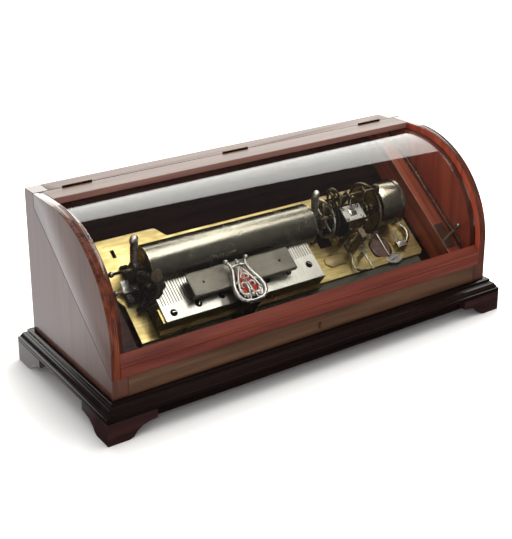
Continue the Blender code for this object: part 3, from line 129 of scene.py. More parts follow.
def coloured(material, texture, stops):
    """Sends a texture through a ramp of colours to the base colour."""
    ramp = added(material.node_tree, "ShaderNodeValToRGB", {"Fac": texture.outputs[0]})
    ends = ramp.color_ramp.elements
    for end, (position, colour) in zip(ends, (stops[0], stops[-1])):
        end.position = position
        end.color = (*colour, 1)
    for position, colour in stops[1:-1]:
        ends.new(position).color = (*colour, 1)
    shade(material, {"Base Color": ramp.outputs["Color"]})


def between(tree, value, low, high, first=0.0, last=1.0):
    """A straight slope from the first value at low to the last value at high."""
    inputs = {"From Min": low, "From Max": high, "To Min": first, "To Max": last, "Value": value}
    return added(tree, "ShaderNodeMapRange", inputs).outputs["Result"]


def rough_between(material, texture, low, high):
    """Lets a texture move the roughness between two values."""
    shade(material, {"Roughness": between(material.node_tree, texture.outputs[0], 0.3, 0.7, low, high)})


def raised(material, texture, distance, strength):
    """Turns a texture into a shallow relief."""
    inputs = {"Distance": distance, "Strength": strength, "Height": texture.outputs[0]}
    bump = added(material.node_tree, "ShaderNodeBump", inputs)
    shade(material, {"Normal": bump.outputs["Normal"]})


print("helpers ready")

# %% [markdown]
# ## Mahogany
#
# The case is French polished mahogany: dark streaks that run with the board, fine open pores, and a
# clear coat over them that mirrors the studio. Each board gets the same recipe with its own direction
# of grain and its own pair of colours: rails, sides and the inside each have their own, and the back
# board and the left lining are far darker than the right lining. The paler pair on the front faces of
# the top rail is painted light, for the light that the rail's edge catches.

# %% Wood finishes
def wood(name, dark, pale, along, roughness=0.32, coat=0.6, streak=0.016, turn=0.0):
    """French polished wood with its grain along X, Y or Z."""
    material = new_finish(name, roughness)
    grain = [streak, streak, streak]
    grain["XYZ".index(along)] = 22 * streak
    pores = [0.5 * MM, 0.5 * MM, 0.5 * MM]
    pores["XYZ".index(along)] = 14 * MM
    figure = pattern(material, grain, 7, turn)
    figure.inputs["Distortion"].default_value = 0.5
    middle = tuple((a + b) / 2 for a, b in zip(dark, pale))
    coloured(material, figure, ((0.32, dark), (0.50, middle), (0.68, pale)))
    raised(material, pattern(material, pores, 2, turn), 0.05 * MM, 0.25)
    shade(material, {"Coat Weight": coat, "Coat Roughness": 0.08})
    return material


side_wood = wood("side_mahogany", (0.062, 0.020, 0.013), (0.110, 0.040, 0.025), "Z", coat=1.0)
rail_wood = wood("rail_mahogany", (0.060, 0.026, 0.012), (0.140, 0.066, 0.032), "X", 0.36, 0.35)
top_wood = wood("top_mahogany", (0.090, 0.034, 0.020), (0.160, 0.070, 0.042), "X", 0.42, 0.3)
bevel_wood = wood("lid_rail_mahogany", (0.090, 0.014, 0.009), (0.200, 0.040, 0.022), "X", 0.30, 0.45)
rim_wood = wood("arch_mahogany", (0.030, 0.006, 0.003), (0.200, 0.040, 0.012), "Z", 0.24, 1.0, 0.010)
arch_wood = wood("right_arch_mahogany", (0.050, 0.012, 0.008), (0.130, 0.030, 0.018), "Z", 0.28, 0.8)
# Paler wood for the top rail's front faces: painted light, for the light that the rail's edge catches.
lit_edge_wood = wood("rail_edge_mahogany", (0.240, 0.105, 0.085), (0.340, 0.170, 0.140), "X", 0.34, 0.5)
ledge_wood = wood("ledge_mahogany", (0.200, 0.032, 0.018), (0.400, 0.090, 0.036), "Y", 0.34, 0.4, turn=0.67)
cheek_wood = wood("cheek_mahogany", (0.280, 0.036, 0.018), (0.480, 0.085, 0.036), "Z", 0.34, 0.4)
inside_wood = wood("inside_mahogany", (0.022, 0.004, 0.004), (0.050, 0.010, 0.008), "X", 0.40, 0.1)
deck_wood = wood("deck_board", (0.010, 0.003, 0.003), (0.024, 0.007, 0.006), "X", 0.8, 0)
plinth_wood = wood("dark_plinth", (0.0040, 0.0016, 0.0012), (0.012, 0.005, 0.004), "X", 0.20, 0.2)
for dull, level in ((deck_wood, 0.04), (inside_wood, 0.15), (plinth_wood, 0.25)):
    shade(dull, {"Specular IOR Level": level})
foot_wood = wood("dark_foot", (0.018, 0.005, 0.005), (0.045, 0.012, 0.012), "X", 0.30, 0.5)
print("woods:", [m.name for m in bpy.data.materials if "mahogany" in m.name])

# %% [markdown]
# ## Gilding, steel and iron
#
# The gilt of the bedplate has a soft mottle drawn out along the bed. Cut steel such as the comb
# is brushed, which is noise drawn out along one direction. The levers are bright steel, the wheel cage
# is brass gone dull, the barrel is nickel with a brownish film, and the castings are black japanned
# iron. The cylinder has a very fine grain.

# %% Metal finishes
def metal(name, dark, pale, roughness, size, rough_spread=0.08, metallic=1.0, turn=0.0, relief=0.02 * MM):
    """A metal whose tone follows a drawn-out noise and whose roughness follows a broad cloud, with a fine
    relief.
    """
    material = new_finish(name, roughness, metallic)
    streaks = pattern(material, size, 5, turn)
    coloured(material, streaks, ((0.30, dark), (0.70, pale)))
    cloud = pattern(material, in_mm(30, 30, 30), 4, turn)
    rough_between(material, cloud, roughness - rough_spread, roughness + rough_spread)
    raised(material, pattern(material, tuple(s / 3 for s in size), 2, turn), relief, 0.3)
    return material


gilt = metal("gilding", (0.52, 0.38, 0.13), (0.80, 0.64, 0.30), 0.36, in_mm(40, 6, 6), 0.10, turn=TILT)
brass = metal("brass", (0.42, 0.29, 0.11), (0.66, 0.49, 0.22), 0.30, in_mm(3, 3, 3))
comb_steel = metal("comb_steel", (0.55, 0.52, 0.45), (0.80, 0.77, 0.70), 0.34, in_mm(1, 40, 40), turn=TILT)
steel = metal("lever_steel", (0.46, 0.43, 0.38), (0.72, 0.69, 0.63), 0.22, in_mm(2, 2, 2))
tired_brass = metal("tired_brass", (0.16, 0.12, 0.075), (0.30, 0.23, 0.14), 0.34, in_mm(3, 3, 3))
nickel = metal(
    "nickel", (0.34, 0.30, 0.23), (0.48, 0.43, 0.34), 0.21, in_mm(0.8, 40, 40), 0.02, relief=0.0002 * MM
)
zither_metal = metal(
    "zither_metal", (0.17, 0.155, 0.125), (0.25, 0.23, 0.19), 0.50, in_mm(12, 0.8, 4), turn=TILT
)
iron = metal(
    "japanned_iron", (0.010, 0.008, 0.007), (0.034, 0.026, 0.021), 0.30, in_mm(4, 4, 4), metallic=0.3
)
cylinder_metal = metal(
    "pinned_cylinder", (0.24, 0.22, 0.17), (0.56, 0.52, 0.43), 0.25, in_mm(0.9, 0.9, 0.9), 0.04,
    relief=0.0006 * MM,
)
rim_metal = metal("bright_rim", (0.62, 0.56, 0.44), (0.86, 0.80, 0.66), 0.22, in_mm(2, 2, 2))
silver = metal("silvered", (0.60, 0.56, 0.50), (0.90, 0.87, 0.82), 0.32, in_mm(3, 3, 3))
metals = (gilt, brass, comb_steel, steel, tired_brass, nickel, zither_metal, iron, cylinder_metal)
print("metals:", [m.name for m in (*metals, rim_metal, silver)])

# %% [markdown]
# ## Felt, cloth and paper-thin things
#
# The zither roll is wrapped in tissue over felt, and the lyre is backed with red cloth. Both are matt,
# with a fine noise as relief. The roll's near-black colour is painted shade, for the shadow that fills
# the gap between the cylinder and the zither plate.

# %% Soft finishes
# Near-black colours for the roll: painted shade, since it lies in shadow under the cylinder.
felt = new_finish("zither_roll_painted_shade", 0.9)
coloured(felt, pattern(felt, in_mm(2, 2, 2)), ((0.3, (0.02, 0.015, 0.013)), (0.7, (0.05, 0.04, 0.035))))
raised(felt, pattern(felt, in_mm(0.6, 0.6, 0.6)), 0.1 * MM, 0.5)
red_cloth = new_finish("red_cloth", 0.75)
fibres = pattern(red_cloth, in_mm(1.5, 1.5, 1.5))
coloured(red_cloth, fibres, ((0.3, (0.50, 0.035, 0.015)), (0.7, (0.85, 0.09, 0.04))))
raised(red_cloth, pattern(red_cloth, in_mm(0.4, 0.4, 0.4)), 0.1 * MM, 0.6)
print("soft finishes:", felt.name, red_cloth.name)

# %% [markdown]
# ## Glass
#
# The lid's glass is bent over a form. It is a clear transmitting shader. Light has to get through it
# without the cost of caustics, so shadow rays pass straight through a Transparent shader instead.

# %% Glass finish
def make_glass():
    """Clear glass that casts no dark shadow."""
    material = new_finish("bent_glass", 0.0, colour=(0.985, 0.995, 0.99))
    shade(material, {"Transmission Weight": 1.0, "IOR": 1.5})
    tree = material.node_tree
    clear = tree.nodes.new("ShaderNodeBsdfTransparent")
    rays = tree.nodes.new("ShaderNodeLightPath")
    raised(material, pattern(material, in_mm(160, 90, 90), 1), 0.4 * MM, 0.12)
    looks = {
        "Fac": rays.outputs["Is Shadow Ray"],
        1: tree.nodes["Principled BSDF"].outputs["BSDF"],
        2: clear.outputs["BSDF"],
    }
    chosen = added(tree, "ShaderNodeMixShader", looks).outputs["Shader"]
    fed(tree, tree.nodes["Material Output"], {"Surface": chosen})
    return material


glass = make_glass()
print("glass:", glass.name)

# %% [markdown]
# ## Helpers for pieces
#
# A piece starts as a bmesh, is shaped by bmesh operators, and becomes an object that rides on one of
# the model's bodies. Its object stays at the origin and its place is in its mesh, just as a solid's is.

# %% Piece helpers
def finished(name, bm, material, body, smooth=35):
    """Turns a bmesh into a piece that rides on a body."""
    bmesh.ops.remove_doubles(bm, verts=bm.verts, dist=0.002 * MM)
    bmesh.ops.recalc_face_normals(bm, faces=bm.faces)
    mesh = bpy.data.meshes.new(name)
    bm.to_mesh(mesh)
    bm.free()
    mesh.shade_smooth()
    mesh.set_sharp_from_angle(angle=math.radians(smooth))
    mesh.materials.append(material)
    piece = bpy.data.objects.new(name, mesh)
    bpy.context.scene.collection.objects.link(piece)
    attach(piece, body)
    return piece


def lathe(bm, profile, matrix, steps, closed=False):
    """Turns a profile of (radius, height) about the matrix's Z."""
    points = [bm.verts.new((radius, 0, height)) for radius, height in profile]
    pairs = list(zip(points, points[1:]))
    if closed:
        pairs.append((points[-1], points[0]))
    edges = [bm.edges.new(pair) for pair in pairs]
    bmesh.ops.spin(
        bm, geom=points + edges, cent=(0, 0, 0), axis=(0, 0, 1), angle=math.tau, steps=steps, use_merge=True
    )
    fresh = {v for e in edges for v in e.verts}
    queue = list(fresh)
    while queue:
        vert = queue.pop()
        for edge in vert.link_edges:
            other = edge.other_vert(vert)
            if other not in fresh:
                fresh.add(other)
                queue.append(other)
    bmesh.ops.remove_doubles(bm, verts=list(fresh), dist=0.002 * MM)
    fresh = [v for v in fresh if v.is_valid]
    bmesh.ops.transform(bm, matrix=matrix, verts=fresh)


def slab(bm, outline, low, high, matrix, bevel=0.0):
    """A flat outline in X and Y, raised from low to high and with its edges eased."""
    face = bm.faces.new([bm.verts.new((x, y, low)) for x, y in outline])
    grown = bmesh.ops.extrude_face_region(bm, geom=[face])
    top = [item for item in grown["geom"] if isinstance(item, bmesh.types.BMVert)]
    bmesh.ops.translate(bm, verts=top, vec=(0, 0, high - low))
    verts = list(face.verts) + top
    if bevel:
        edges = {e for v in verts for e in v.link_edges}
        soft = bmesh.ops.bevel(
            bm, geom=list(edges), offset=bevel, segments=2, profile=0.5, affect="EDGES", material=-1
        )
        verts = list({v for v in verts if v.is_valid} | set(soft["verts"]))
    bmesh.ops.transform(bm, matrix=matrix, verts=verts)


def tube(bm, path, radii, matrix, steps):
    """A round bar along a path, its rings bridged one to the next and its ends closed."""
    rings = []
    spots = [Vector(point) for point in path]
    for index, spot in enumerate(spots):
        before = spots[max(index - 1, 0)]
        after = spots[min(index + 1, len(spots) - 1)]
        turn = (after - before).to_track_quat("Z", "Y").to_matrix().to_4x4()
        ring = bmesh.ops.create_circle(
            bm, cap_ends=False, segments=steps, radius=radii[index], matrix=Matrix.Translation(spot) @ turn
        )
        rings.append(ring["verts"])
    loops = [list({e for v in ring for e in v.link_edges}) for ring in rings]
    for near, far in zip(loops, loops[1:]):
        bmesh.ops.bridge_loops(bm, edges=near + far)
    for ring in (rings[0], rings[-1]):
        bmesh.ops.contextual_create(bm, geom=ring)
    everything = [v for ring in rings for v in ring]
    bmesh.ops.transform(bm, matrix=matrix, verts=everything)


def scaled(points):
    """Points given in millimetres, as metres."""
    return [in_mm(*point) for point in points]


def bar(bm, points, widths, matrix, steps):
    """A round bar whose points and radii are given in millimetres."""
    tube(bm, scaled(points), in_mm(*widths), matrix, steps)


def plate(bm, outline, low, high, ease):
    """A plate on the bed with eased edges, all its sizes in millimetres."""
    slab(bm, scaled(outline), low * MM, high * MM, BED, ease * MM)


def oblong(left, front, right, back):
    """The four corners of an oblong."""
    return [(left, front), (right, front), (right, back), (left, back)]


def ball(bm, radius, spot, matrix, steps=14):
    """A ball of some radius at a spot."""
    at = matrix @ Matrix.Translation(spot)
    bmesh.ops.create_uvsphere(bm, u_segments=steps, v_segments=steps // 2 + 1, radius=radius, matrix=at)


def arc(centre, radius, start, end, steps):
    """Points on an arc in degrees, both ends included."""
    angles = [math.radians(start + (end - start) * step / steps) for step in range(steps + 1)]
    return [(centre[0] + radius * math.cos(a), centre[1] + radius * math.sin(a)) for a in angles]


print("piece helpers ready")

# %% [markdown]
# ## Easing the edges of the solids
#
# No maker leaves an edge dead sharp, and it is the small rounding that catches the light. Most solids
# have the right shape already. A copy of each is merged from loose triangles, its flat faces are joined
# again, and a Bevel modifier eases its edges. The copy then stands for the solid, which stays in the
# model for the joints.

# %% Ease an edge
BODY_OF = {name: body for body, names in frame["record"]["behaviour"]["bodies"].items() for name in names}


def merged(node):
    """A copy of a solid's mesh with its loose triangles joined to whole faces."""
    bm = bmesh.new()
    bm.from_mesh(frame["nodes"][node].data)
    bmesh.ops.remove_doubles(bm, verts=bm.verts, dist=0.01 * MM)
    bmesh.ops.dissolve_limit(bm, angle_limit=math.radians(1), verts=bm.verts, edges=bm.edges)
    return bm


def eased(node, material, width):
    """A merged copy of a solid that rides where it rides, its edges rounded by some millimetres."""
    piece = finished(node + "_made", merged(node), material, BODY_OF[node])
    if width:
        bevel = piece.modifiers.new("eased_edges", "BEVEL")
        bevel.width = width * MM
        bevel.segments = 2
        bevel.limit_method = "ANGLE"
        bevel.angle_limit = math.radians(38)
    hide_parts(node)


print("bodies known for", len(BODY_OF), "solids")

# %% [markdown]
# ## The case
#
# Boards are eased by half a millimetre to a millimetre and a half. The thin bright lines that the
# plinth shows in the photograph are the eased edges of its steps.

# %% Case, plinth and feet
WAYS = ("front", "back", "left", "right")
CORNERS = ("front_left", "front_right", "back_left", "back_right")
CASE_FINISHES = (
    (plinth_wood, 0.6, ["base_board"]),
    (plinth_wood, 0.7, ["plinth_moulding_" + way for way in WAYS]),
    (foot_wood, 0.5, ["foot_" + corner for corner in CORNERS]),
    (side_wood, 0.8, ["side_left", "side_right"]),
    (rail_wood, 0.5, ["front_rail"]),
    (inside_wood, 0.5, ["back_board"]),
    (top_wood, 1.6, ["top_strip"]),
    (inside_wood, 0.8, ["lining_left"]),
    (ledge_wood, 0.8, ["lining_right"]),
    (deck_wood, 0.4, ["movement_deck"]),
    (brass, 0.5, ["lock_case"]),
    (top_wood, 1.6, ["lid_top_rail"]),
    (bevel_wood, 0.7, ["lid_bottom_rail"]),
)


def dress(finishes):
    """Eases every solid that a table names and gives it the table's finish."""
    for material, width, nodes in finishes:
        for node in nodes:
            eased(node, material, width)


dress(CASE_FINISHES)


def faced(piece, material, way, reach=0.8):
    """Gives the faces that look one way a finish of their own."""
    piece.data.materials.append(material)
    for face in piece.data.polygons:
        if face.normal.dot(Vector(way)) > reach:
            face.material_index = len(piece.data.materials) - 1


# The top rail's front faces take the paler finish, which is painted light on the lit edge.
faced(bpy.data.objects["lid_top_rail_made"], lit_edge_wood, (0, -1, 0))
print("case boards dressed in", len(CASE_FINISHES), "rows of the table")

# %% [markdown]
# ## The arched cheeks of the lid
#
# Each cheek is a quarter round of thick board with a shoulder under the glass. Its outline is an arc
# closed by the slanting seam, raised to the thickness of the board. The bead lines that follow the arch
# are thin bars swept along it and sunk in the rim, because a bar keeps the same round all the way. The
# inner face is redder and the outer face matches the side of the case, so both get their own finish.

# %% Cheeks with beaded rims
ARCH_STEPS = 96
LID_TOP = 366 * MM
LID_BACK = 124.7 * MM
LID_FRONT = -165 * MM
SEAM_FRONT = 107.3 * MM
RIM_THICK = 18 * MM
SHOULDER_THICK = 32 * MM
SHOULDER_RADIUS = 193.7 * MM
BEAD_RADIUS = 1.3 * MM


def seam_height(y):
    """Height of the slanting seam under the lid at a depth y."""
    return SEAM_FRONT + (y - LID_FRONT) * math.tan(TILT)


def across(side):
    """Stands a flat outline upright in Y and Z, and counts its thickness along X to one side."""
    return Matrix(((0, 0, side, 0), (1, 0, 0, 0), (0, 1, 0, 0), (0, 0, 0, 1)))


def cheek(side):
    """A board with a quarter round rim and a shoulder under the glass."""
    bm = bmesh.new()
    upright = across(side)
    rim = [(LID_BACK, LID_TOP)] + arc(ARCH_CENTRE, ARCH_RADIUS, 90, 180, ARCH_STEPS)
    rim += [(LID_FRONT, seam_height(LID_FRONT)), (LID_BACK, seam_height(LID_BACK))]
    slab(bm, rim, CASE_HALF - RIM_THICK, CASE_HALF, upright, 0.9 * MM)
    foot = ARCH_CENTRE[0] - SHOULDER_RADIUS
    shoulder = [(LID_BACK, ARCH_CENTRE[1] + SHOULDER_RADIUS)]
    shoulder += arc(ARCH_CENTRE, SHOULDER_RADIUS, 90, 180, ARCH_STEPS)
    shoulder += [(foot, seam_height(foot)), (LID_BACK, seam_height(LID_BACK))]
    slab(bm, shoulder, CASE_HALF - SHOULDER_THICK, CASE_HALF - RIM_THICK + 0.5 * MM, upright, 0.8 * MM)
    return bm


for name, side, rim_finish in (("left", -1, rim_wood), ("right", 1, arch_wood)):
    made = finished("lid_cheek_" + name + "_made", cheek(side), rim_finish, "lid", 30)
    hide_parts("lid_cheek_" + name)
    faced(made, cheek_wood, (-side, 0, 0))
    faced(made, side_wood, (side, 0, 0), 0.9)
    bm = bmesh.new()
    for inset in in_mm(2.2, 5.6, 12.4, 15.8):
        bead = arc(ARCH_CENTRE, ARCH_RADIUS - 0.4 * MM, 91, 179, 72)
        path = [(side * (CASE_HALF - inset), y, z) for y, z in bead]
        tube(bm, path, [BEAD_RADIUS] * len(path), Matrix.Identity(4), 8)
    finished("arch_beads_" + name, bm, rim_wood, "lid", 60)
print("cheeks and beads made")

# %% [markdown]
# ## Gap shade and edge highlight
#
# A narrow black line between the fixed top strip and the lid is painted shade, for the shadow inside
# the gap there. A pale line along the long inner edge of the right ledge is a painted highlight, for the
# light that this edge catches. Both are thin strips let into the wood, so that they stay as sharp as in
# the photograph.

# %% Gap shade and edge highlight
# A dark strip between the top strip and the lid: painted shade, for the shadow in the gap.
bm = bmesh.new()
slab(bm, scaled(oblong(-449, 125.05, 449, 126.6)), 365.2 * MM, 366.15 * MM, Matrix.Identity(4), 0.1 * MM)
finished("top_gap_painted_shade", bm, plinth_wood, "root", 40)
# A pale bar along the inner edge of the right ledge: a painted highlight, for the light on that edge.
bm = bmesh.new()
tube(bm, scaled([(378.2, 20, -0.3), (378.2, 352, -0.3)]), in_mm(0.7, 0.7), SEAM, 10)
ledge_highlight_wood = wood("ledge_edge_highlight", (0.42, 0.20, 0.15), (0.62, 0.34, 0.27), "Y", 0.40, 0.3)
finished("ledge_edge_highlight", bm, ledge_highlight_wood, "root", 60)
print("gap line and rubbed edge laid")

# %% [markdown]
# ## The bent glass
#
# A sheet 3 mm thick follows the arch and runs flat under the top rail and down behind the bottom rail.
# Its section is drawn once and given its width, with many short steps so that the reflections run
# smoothly.

# %% Bent glass
GLASS_STEPS = 128
GLASS_HALF = 431.7 * MM
GLASS_OUTSIDE = 197 * MM
GLASS_INSIDE = 194 * MM
GLASS_TAIL = 119.7 * MM
GLASS_FOOT = 130 * MM
bm = bmesh.new()
section = [(GLASS_TAIL, ARCH_CENTRE[1] + GLASS_OUTSIDE)]
section += arc(ARCH_CENTRE, GLASS_OUTSIDE, 90, 180, GLASS_STEPS)
section += [(ARCH_CENTRE[0] - GLASS_OUTSIDE, GLASS_FOOT), (ARCH_CENTRE[0] - GLASS_INSIDE, GLASS_FOOT)]
section += arc(ARCH_CENTRE, GLASS_INSIDE, 180, 90, GLASS_STEPS)
section += [(GLASS_TAIL, ARCH_CENTRE[1] + GLASS_INSIDE)]
slab(bm, section, -GLASS_HALF, GLASS_HALF, across(1))
sheet = finished("lid_glass_made", bm, glass, "lid", 30)
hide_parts("lid_glass")
print("glass has", len(sheet.data.polygons), "faces")

# %% [markdown]
# ## Hinges and stay
#
# The hinge leaves, the stay and its bracket are small plain shapes, so the solids only need their edges
# eased.

# %% Fittings of the case
SPOTS = ("left", "middle", "right")
FITTING_FINISHES = (
    (tired_brass, 0.15, ["hinge_" + half + "_leaf_" + spot for half in ("case", "lid") for spot in SPOTS]),
    (steel, 0.3, ["stay_arm"]),
    (nickel, 0.3, ["stay_bracket"]),
)
dress(FITTING_FINISHES)
print("fittings eased")

# %% [markdown]
# ## Bed, bearings and wheels
#
# The bedplate is gilt brass, the castings are black, and the wheels keep the teeth of the solids. The
# table gives each solid its finish and the width of its easing. The left end of the comb's base stands
# among the dark castings, so that face is black too.

# %% The movement's solids
MOVEMENT_FINISHES = (
    (gilt, 0.7, ["bedplate"]),
    (gilt, 0.8, ["comb_base"]),
    (comb_steel, 0, ["comb"]),
    (brass, 0, ["cylinder_arbor", "governor_arbor"]),
    (steel, 0, ["change_rod", "winding_arbor", "governor_fly"]),
    (steel, 0, ["start_stop_lever", "change_lever", "mainspring"]),
    (silver, 0.1, ["cylinder_wheel"]),
    (silver, 0.5, ["cage_top_plate"]),
    (iron, 0.1, ["governor_drive_wheel"]),
    (iron, 0.8, ["lyre_bracket"]),
    (iron, 1.0, ["barrel_bracket"]),
    (tired_brass, 0, ["lay_shaft"]),
    (tired_brass, 0.1, ["great_wheel", "lay_wheel"]),
    (tired_brass, 0.4, ["cage_plate_left", "cage_plate_right"]),
    (tired_brass, 0.6, ["governor_cock"]),
    (zither_metal, 0.4, ["zither_plate"]),
    # The roll's dark finish is painted shade.
    (felt, 0, ["zither_roll"]),
)
dress(MOVEMENT_FINISHES)
faced(bpy.data.objects["comb_base_made"], iron, (-1, 0, 0))
print("movement dressed in", len(MOVEMENT_FINISHES), "rows of the table")

# %% [markdown]
# ## The pinned cylinder
#
# The cylinder is a brass tube that was turned smooth, with a bright ring at each end. It is spun here
# from the section of its wall, with many steps, so that the long highlight runs straight along it.

# %% Cylinder and its rims
ALONG = AXIS @ Matrix.Rotation(math.radians(90), 4, "Y")
CYLINDER_BORE = CYLINDER_RADIUS - 3 * MM
bm = bmesh.new()
wall = [(CYLINDER_RADIUS, CYLINDER_LEFT), (CYLINDER_RADIUS, CYLINDER_RIGHT)]
wall += [(CYLINDER_BORE, CYLINDER_RIGHT), (CYLINDER_BORE, CYLINDER_LEFT)]
lathe(bm, wall, ALONG, 144, True)
drum = finished("cylinder_made", bm, cylinder_metal, "cylinder_body", 40)
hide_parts("cylinder")
bm = bmesh.new()
for end, inward in ((CYLINDER_LEFT, 1), (CYLINDER_RIGHT, -1)):
    low, high = sorted((end - inward * 0.2 * MM, end + inward * 1.4 * MM))
    ring = [(CYLINDER_RADIUS + 0.15 * MM, low), (CYLINDER_RADIUS + 0.15 * MM, high)]
    ring += [(CYLINDER_RADIUS - 1.6 * MM, high), (CYLINDER_RADIUS - 1.6 * MM, low)]
    lathe(bm, ring, ALONG, 96, True)
finished("cylinder_rims", bm, rim_metal, "cylinder_body", 40)
print("cylinder is", round((CYLINDER_RIGHT - CYLINDER_LEFT) / MM), "mm long")

# %% [markdown]
# ## The pins
#
# Steel pins set in the cylinder pluck the comb. Each is a tiny cone that stands a quarter of a
# millimetre proud. The pins stand on two tracks for each tooth of the comb, and their scatter is seeded
# so that it comes out the same each time.

# %% Cylinder pins
COMB_TEETH = 62
END_MARGIN = 10 * MM
PIN_LENGTH = 0.5 * MM
random.seed(7)
stand = Matrix.Rotation(math.radians(90), 4, "Y")
bm = bmesh.new()
pitch = (CYLINDER_RIGHT - CYLINDER_LEFT - 2 * END_MARGIN) / COMB_TEETH
for track in range(2 * COMB_TEETH):
    x = CYLINDER_LEFT + END_MARGIN + track * pitch / 2
    for pin in range(random.randint(7, 15)):
        turn = Matrix.Rotation(random.uniform(0, math.tau), 4, "Z")
        out = Matrix.Translation((CYLINDER_RADIUS, 0, x + random.uniform(-0.4, 0.4) * MM))
        bmesh.ops.create_cone(
            bm, cap_ends=True, segments=5, radius1=0.28 * MM, radius2=0.2 * MM, depth=PIN_LENGTH,
            matrix=ALONG @ turn @ out @ stand,
        )
print(len(bm.faces) // 7, "pins of seven faces each")
finished("cylinder_pins", bm, steel, "cylinder_body", 20)

# %% [markdown]
# ## The spring barrel
#
# The barrel is turned brass under a dull nickel, with a raised band at its right end. The great wheel
# at its left end shows a closed brass face in the photograph, so a thin web fills the openings between
# its arms.

# %% Barrel
bm = bmesh.new()
profile = [
    (6.3, 322), (48.6, 322), (49, 321.6), (49, 315.4), (48.6, 315), (47, 315), (47, 264), (46.2, 262.6),
    (45, 262), (12, 262), (12, 248.3), (6.3, 248.3), (6.3, 265), (44, 265), (44, 319), (6.3, 319),
]
lathe(bm, scaled(profile), ALONG, 128, True)
made = finished("spring_barrel_made", bm, nickel, "barrel", 30)
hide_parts("spring_barrel")
bm = bmesh.new()
lathe(bm, scaled(oblong(13, 245, 52, 247)), ALONG, 96, True)
finished("great_wheel_web", bm, brass, "barrel", 30)
print("barrel and web turned")

# %% [markdown]
# ## Comb screws
#
# Six dark domed screws clamp the comb, each on a washer. A screw is turned from its profile, and its
# slot is a thin strip across the dome in a brighter metal, which shows from far away better than a real
# groove would. The strip's brightness is partly a painted highlight, for the bright glint in the middle
# of each dome. A loop sets all six at the places read from the photograph.

# %% Screws
def screw_place(x, s, h, turn):
    """A place on the bed, turned by the angle of a screw's slot."""
    return BED @ Matrix.Translation(in_mm(x, s, h)) @ Matrix.Rotation(turn, 4, "Z")


def screw(bm, x, s, h, radius, height, turn=0.0):
    """A washer and a domed head, all sizes in millimetres."""
    dome = [(0, height)]
    for angle in [math.radians(degrees) for degrees in (15, 30, 45, 60, 75)]:
        dome.append((radius * math.sin(angle), height * math.cos(angle)))
    dome += [(radius, height * 0.18), (radius, 0), (0, 0)]
    lathe(bm, scaled(dome), screw_place(x, s, h, turn), 24)
    wide = radius * 1.22
    lathe(bm, scaled([(0, 0.5), (wide, 0.5), (wide, 0), (0, 0)]), screw_place(x, s, h, turn), 24)


def screw_slot(bm, x, s, h, radius, height, turn):
    """A thin bright strip across a screw's dome, which stands for its slot and is partly a painted
    highlight.
    """
    strip = scaled(oblong(-radius * 0.72, -radius * 0.11, radius * 0.72, radius * 0.11))
    slab(bm, strip, height * 0.70 * MM, height * 1.03 * MM, screw_place(x, s, h, turn))


COMB_TOP = 45
COMB_SCREWS = ((-278, 95), (-222, 99), (-168, 102), (-62, 107), (-9, 110), (45, 112.5))
bm = bmesh.new()
slots = bmesh.new()
for index, (x, s) in enumerate(COMB_SCREWS):
    screw(bm, x, s, COMB_TOP, 6.2, 4.6, index * 1.1)
    screw_slot(slots, x, s, COMB_TOP, 6.2, 4.6, index * 1.1)
blued = metal("blued_screw", (0.012, 0.011, 0.012), (0.030, 0.027, 0.026), 0.16, in_mm(2, 2, 2), 0.05, 0.8)
finished("comb_screws", bm, blued, "root", 40)
# The bright slot strips are partly painted highlights on the domes.
finished("comb_screw_slot_glints", slots, steel, "root", 40)
print(len(COMB_SCREWS), "comb screws")

# %% [markdown]
# ## The zither plate's trim
#
# The plate has a narrow raised border and two small screws, and otherwise stays plain.

# %% Zither trim
bm = bmesh.new()
left, front, right, back, wide = -234.2, 105, 0.2, 152, 1.6
for border in (
    oblong(left, front, right, front + wide),
    oblong(left, back - wide, right, back),
    oblong(left, front + wide, left + wide, back - wide),
    oblong(right - wide, front + wide, right, back - wide),
):
    plate(bm, border, 67.8, 68.7, 0.3)
finished("zither_border", bm, zither_metal, "zither")
bm = bmesh.new()
for x in (-205, -30):
    screw(bm, x, 128.5, 68, 2.2, 1.4, x)
finished("zither_screws", bm, blued, "zither", 40)
print("zither trimmed")

# %% [markdown]
# ## The lyre
#
# A silvered lyre stands over the zither. Its two curved arms are bars of changing thickness, swept
# along a path, and they end in knobs. A cross bar, strings, scrolls and a small boss fill it, and red
# cloth shows through the openings. It is a common ornament, drawn here from its simplest forms.

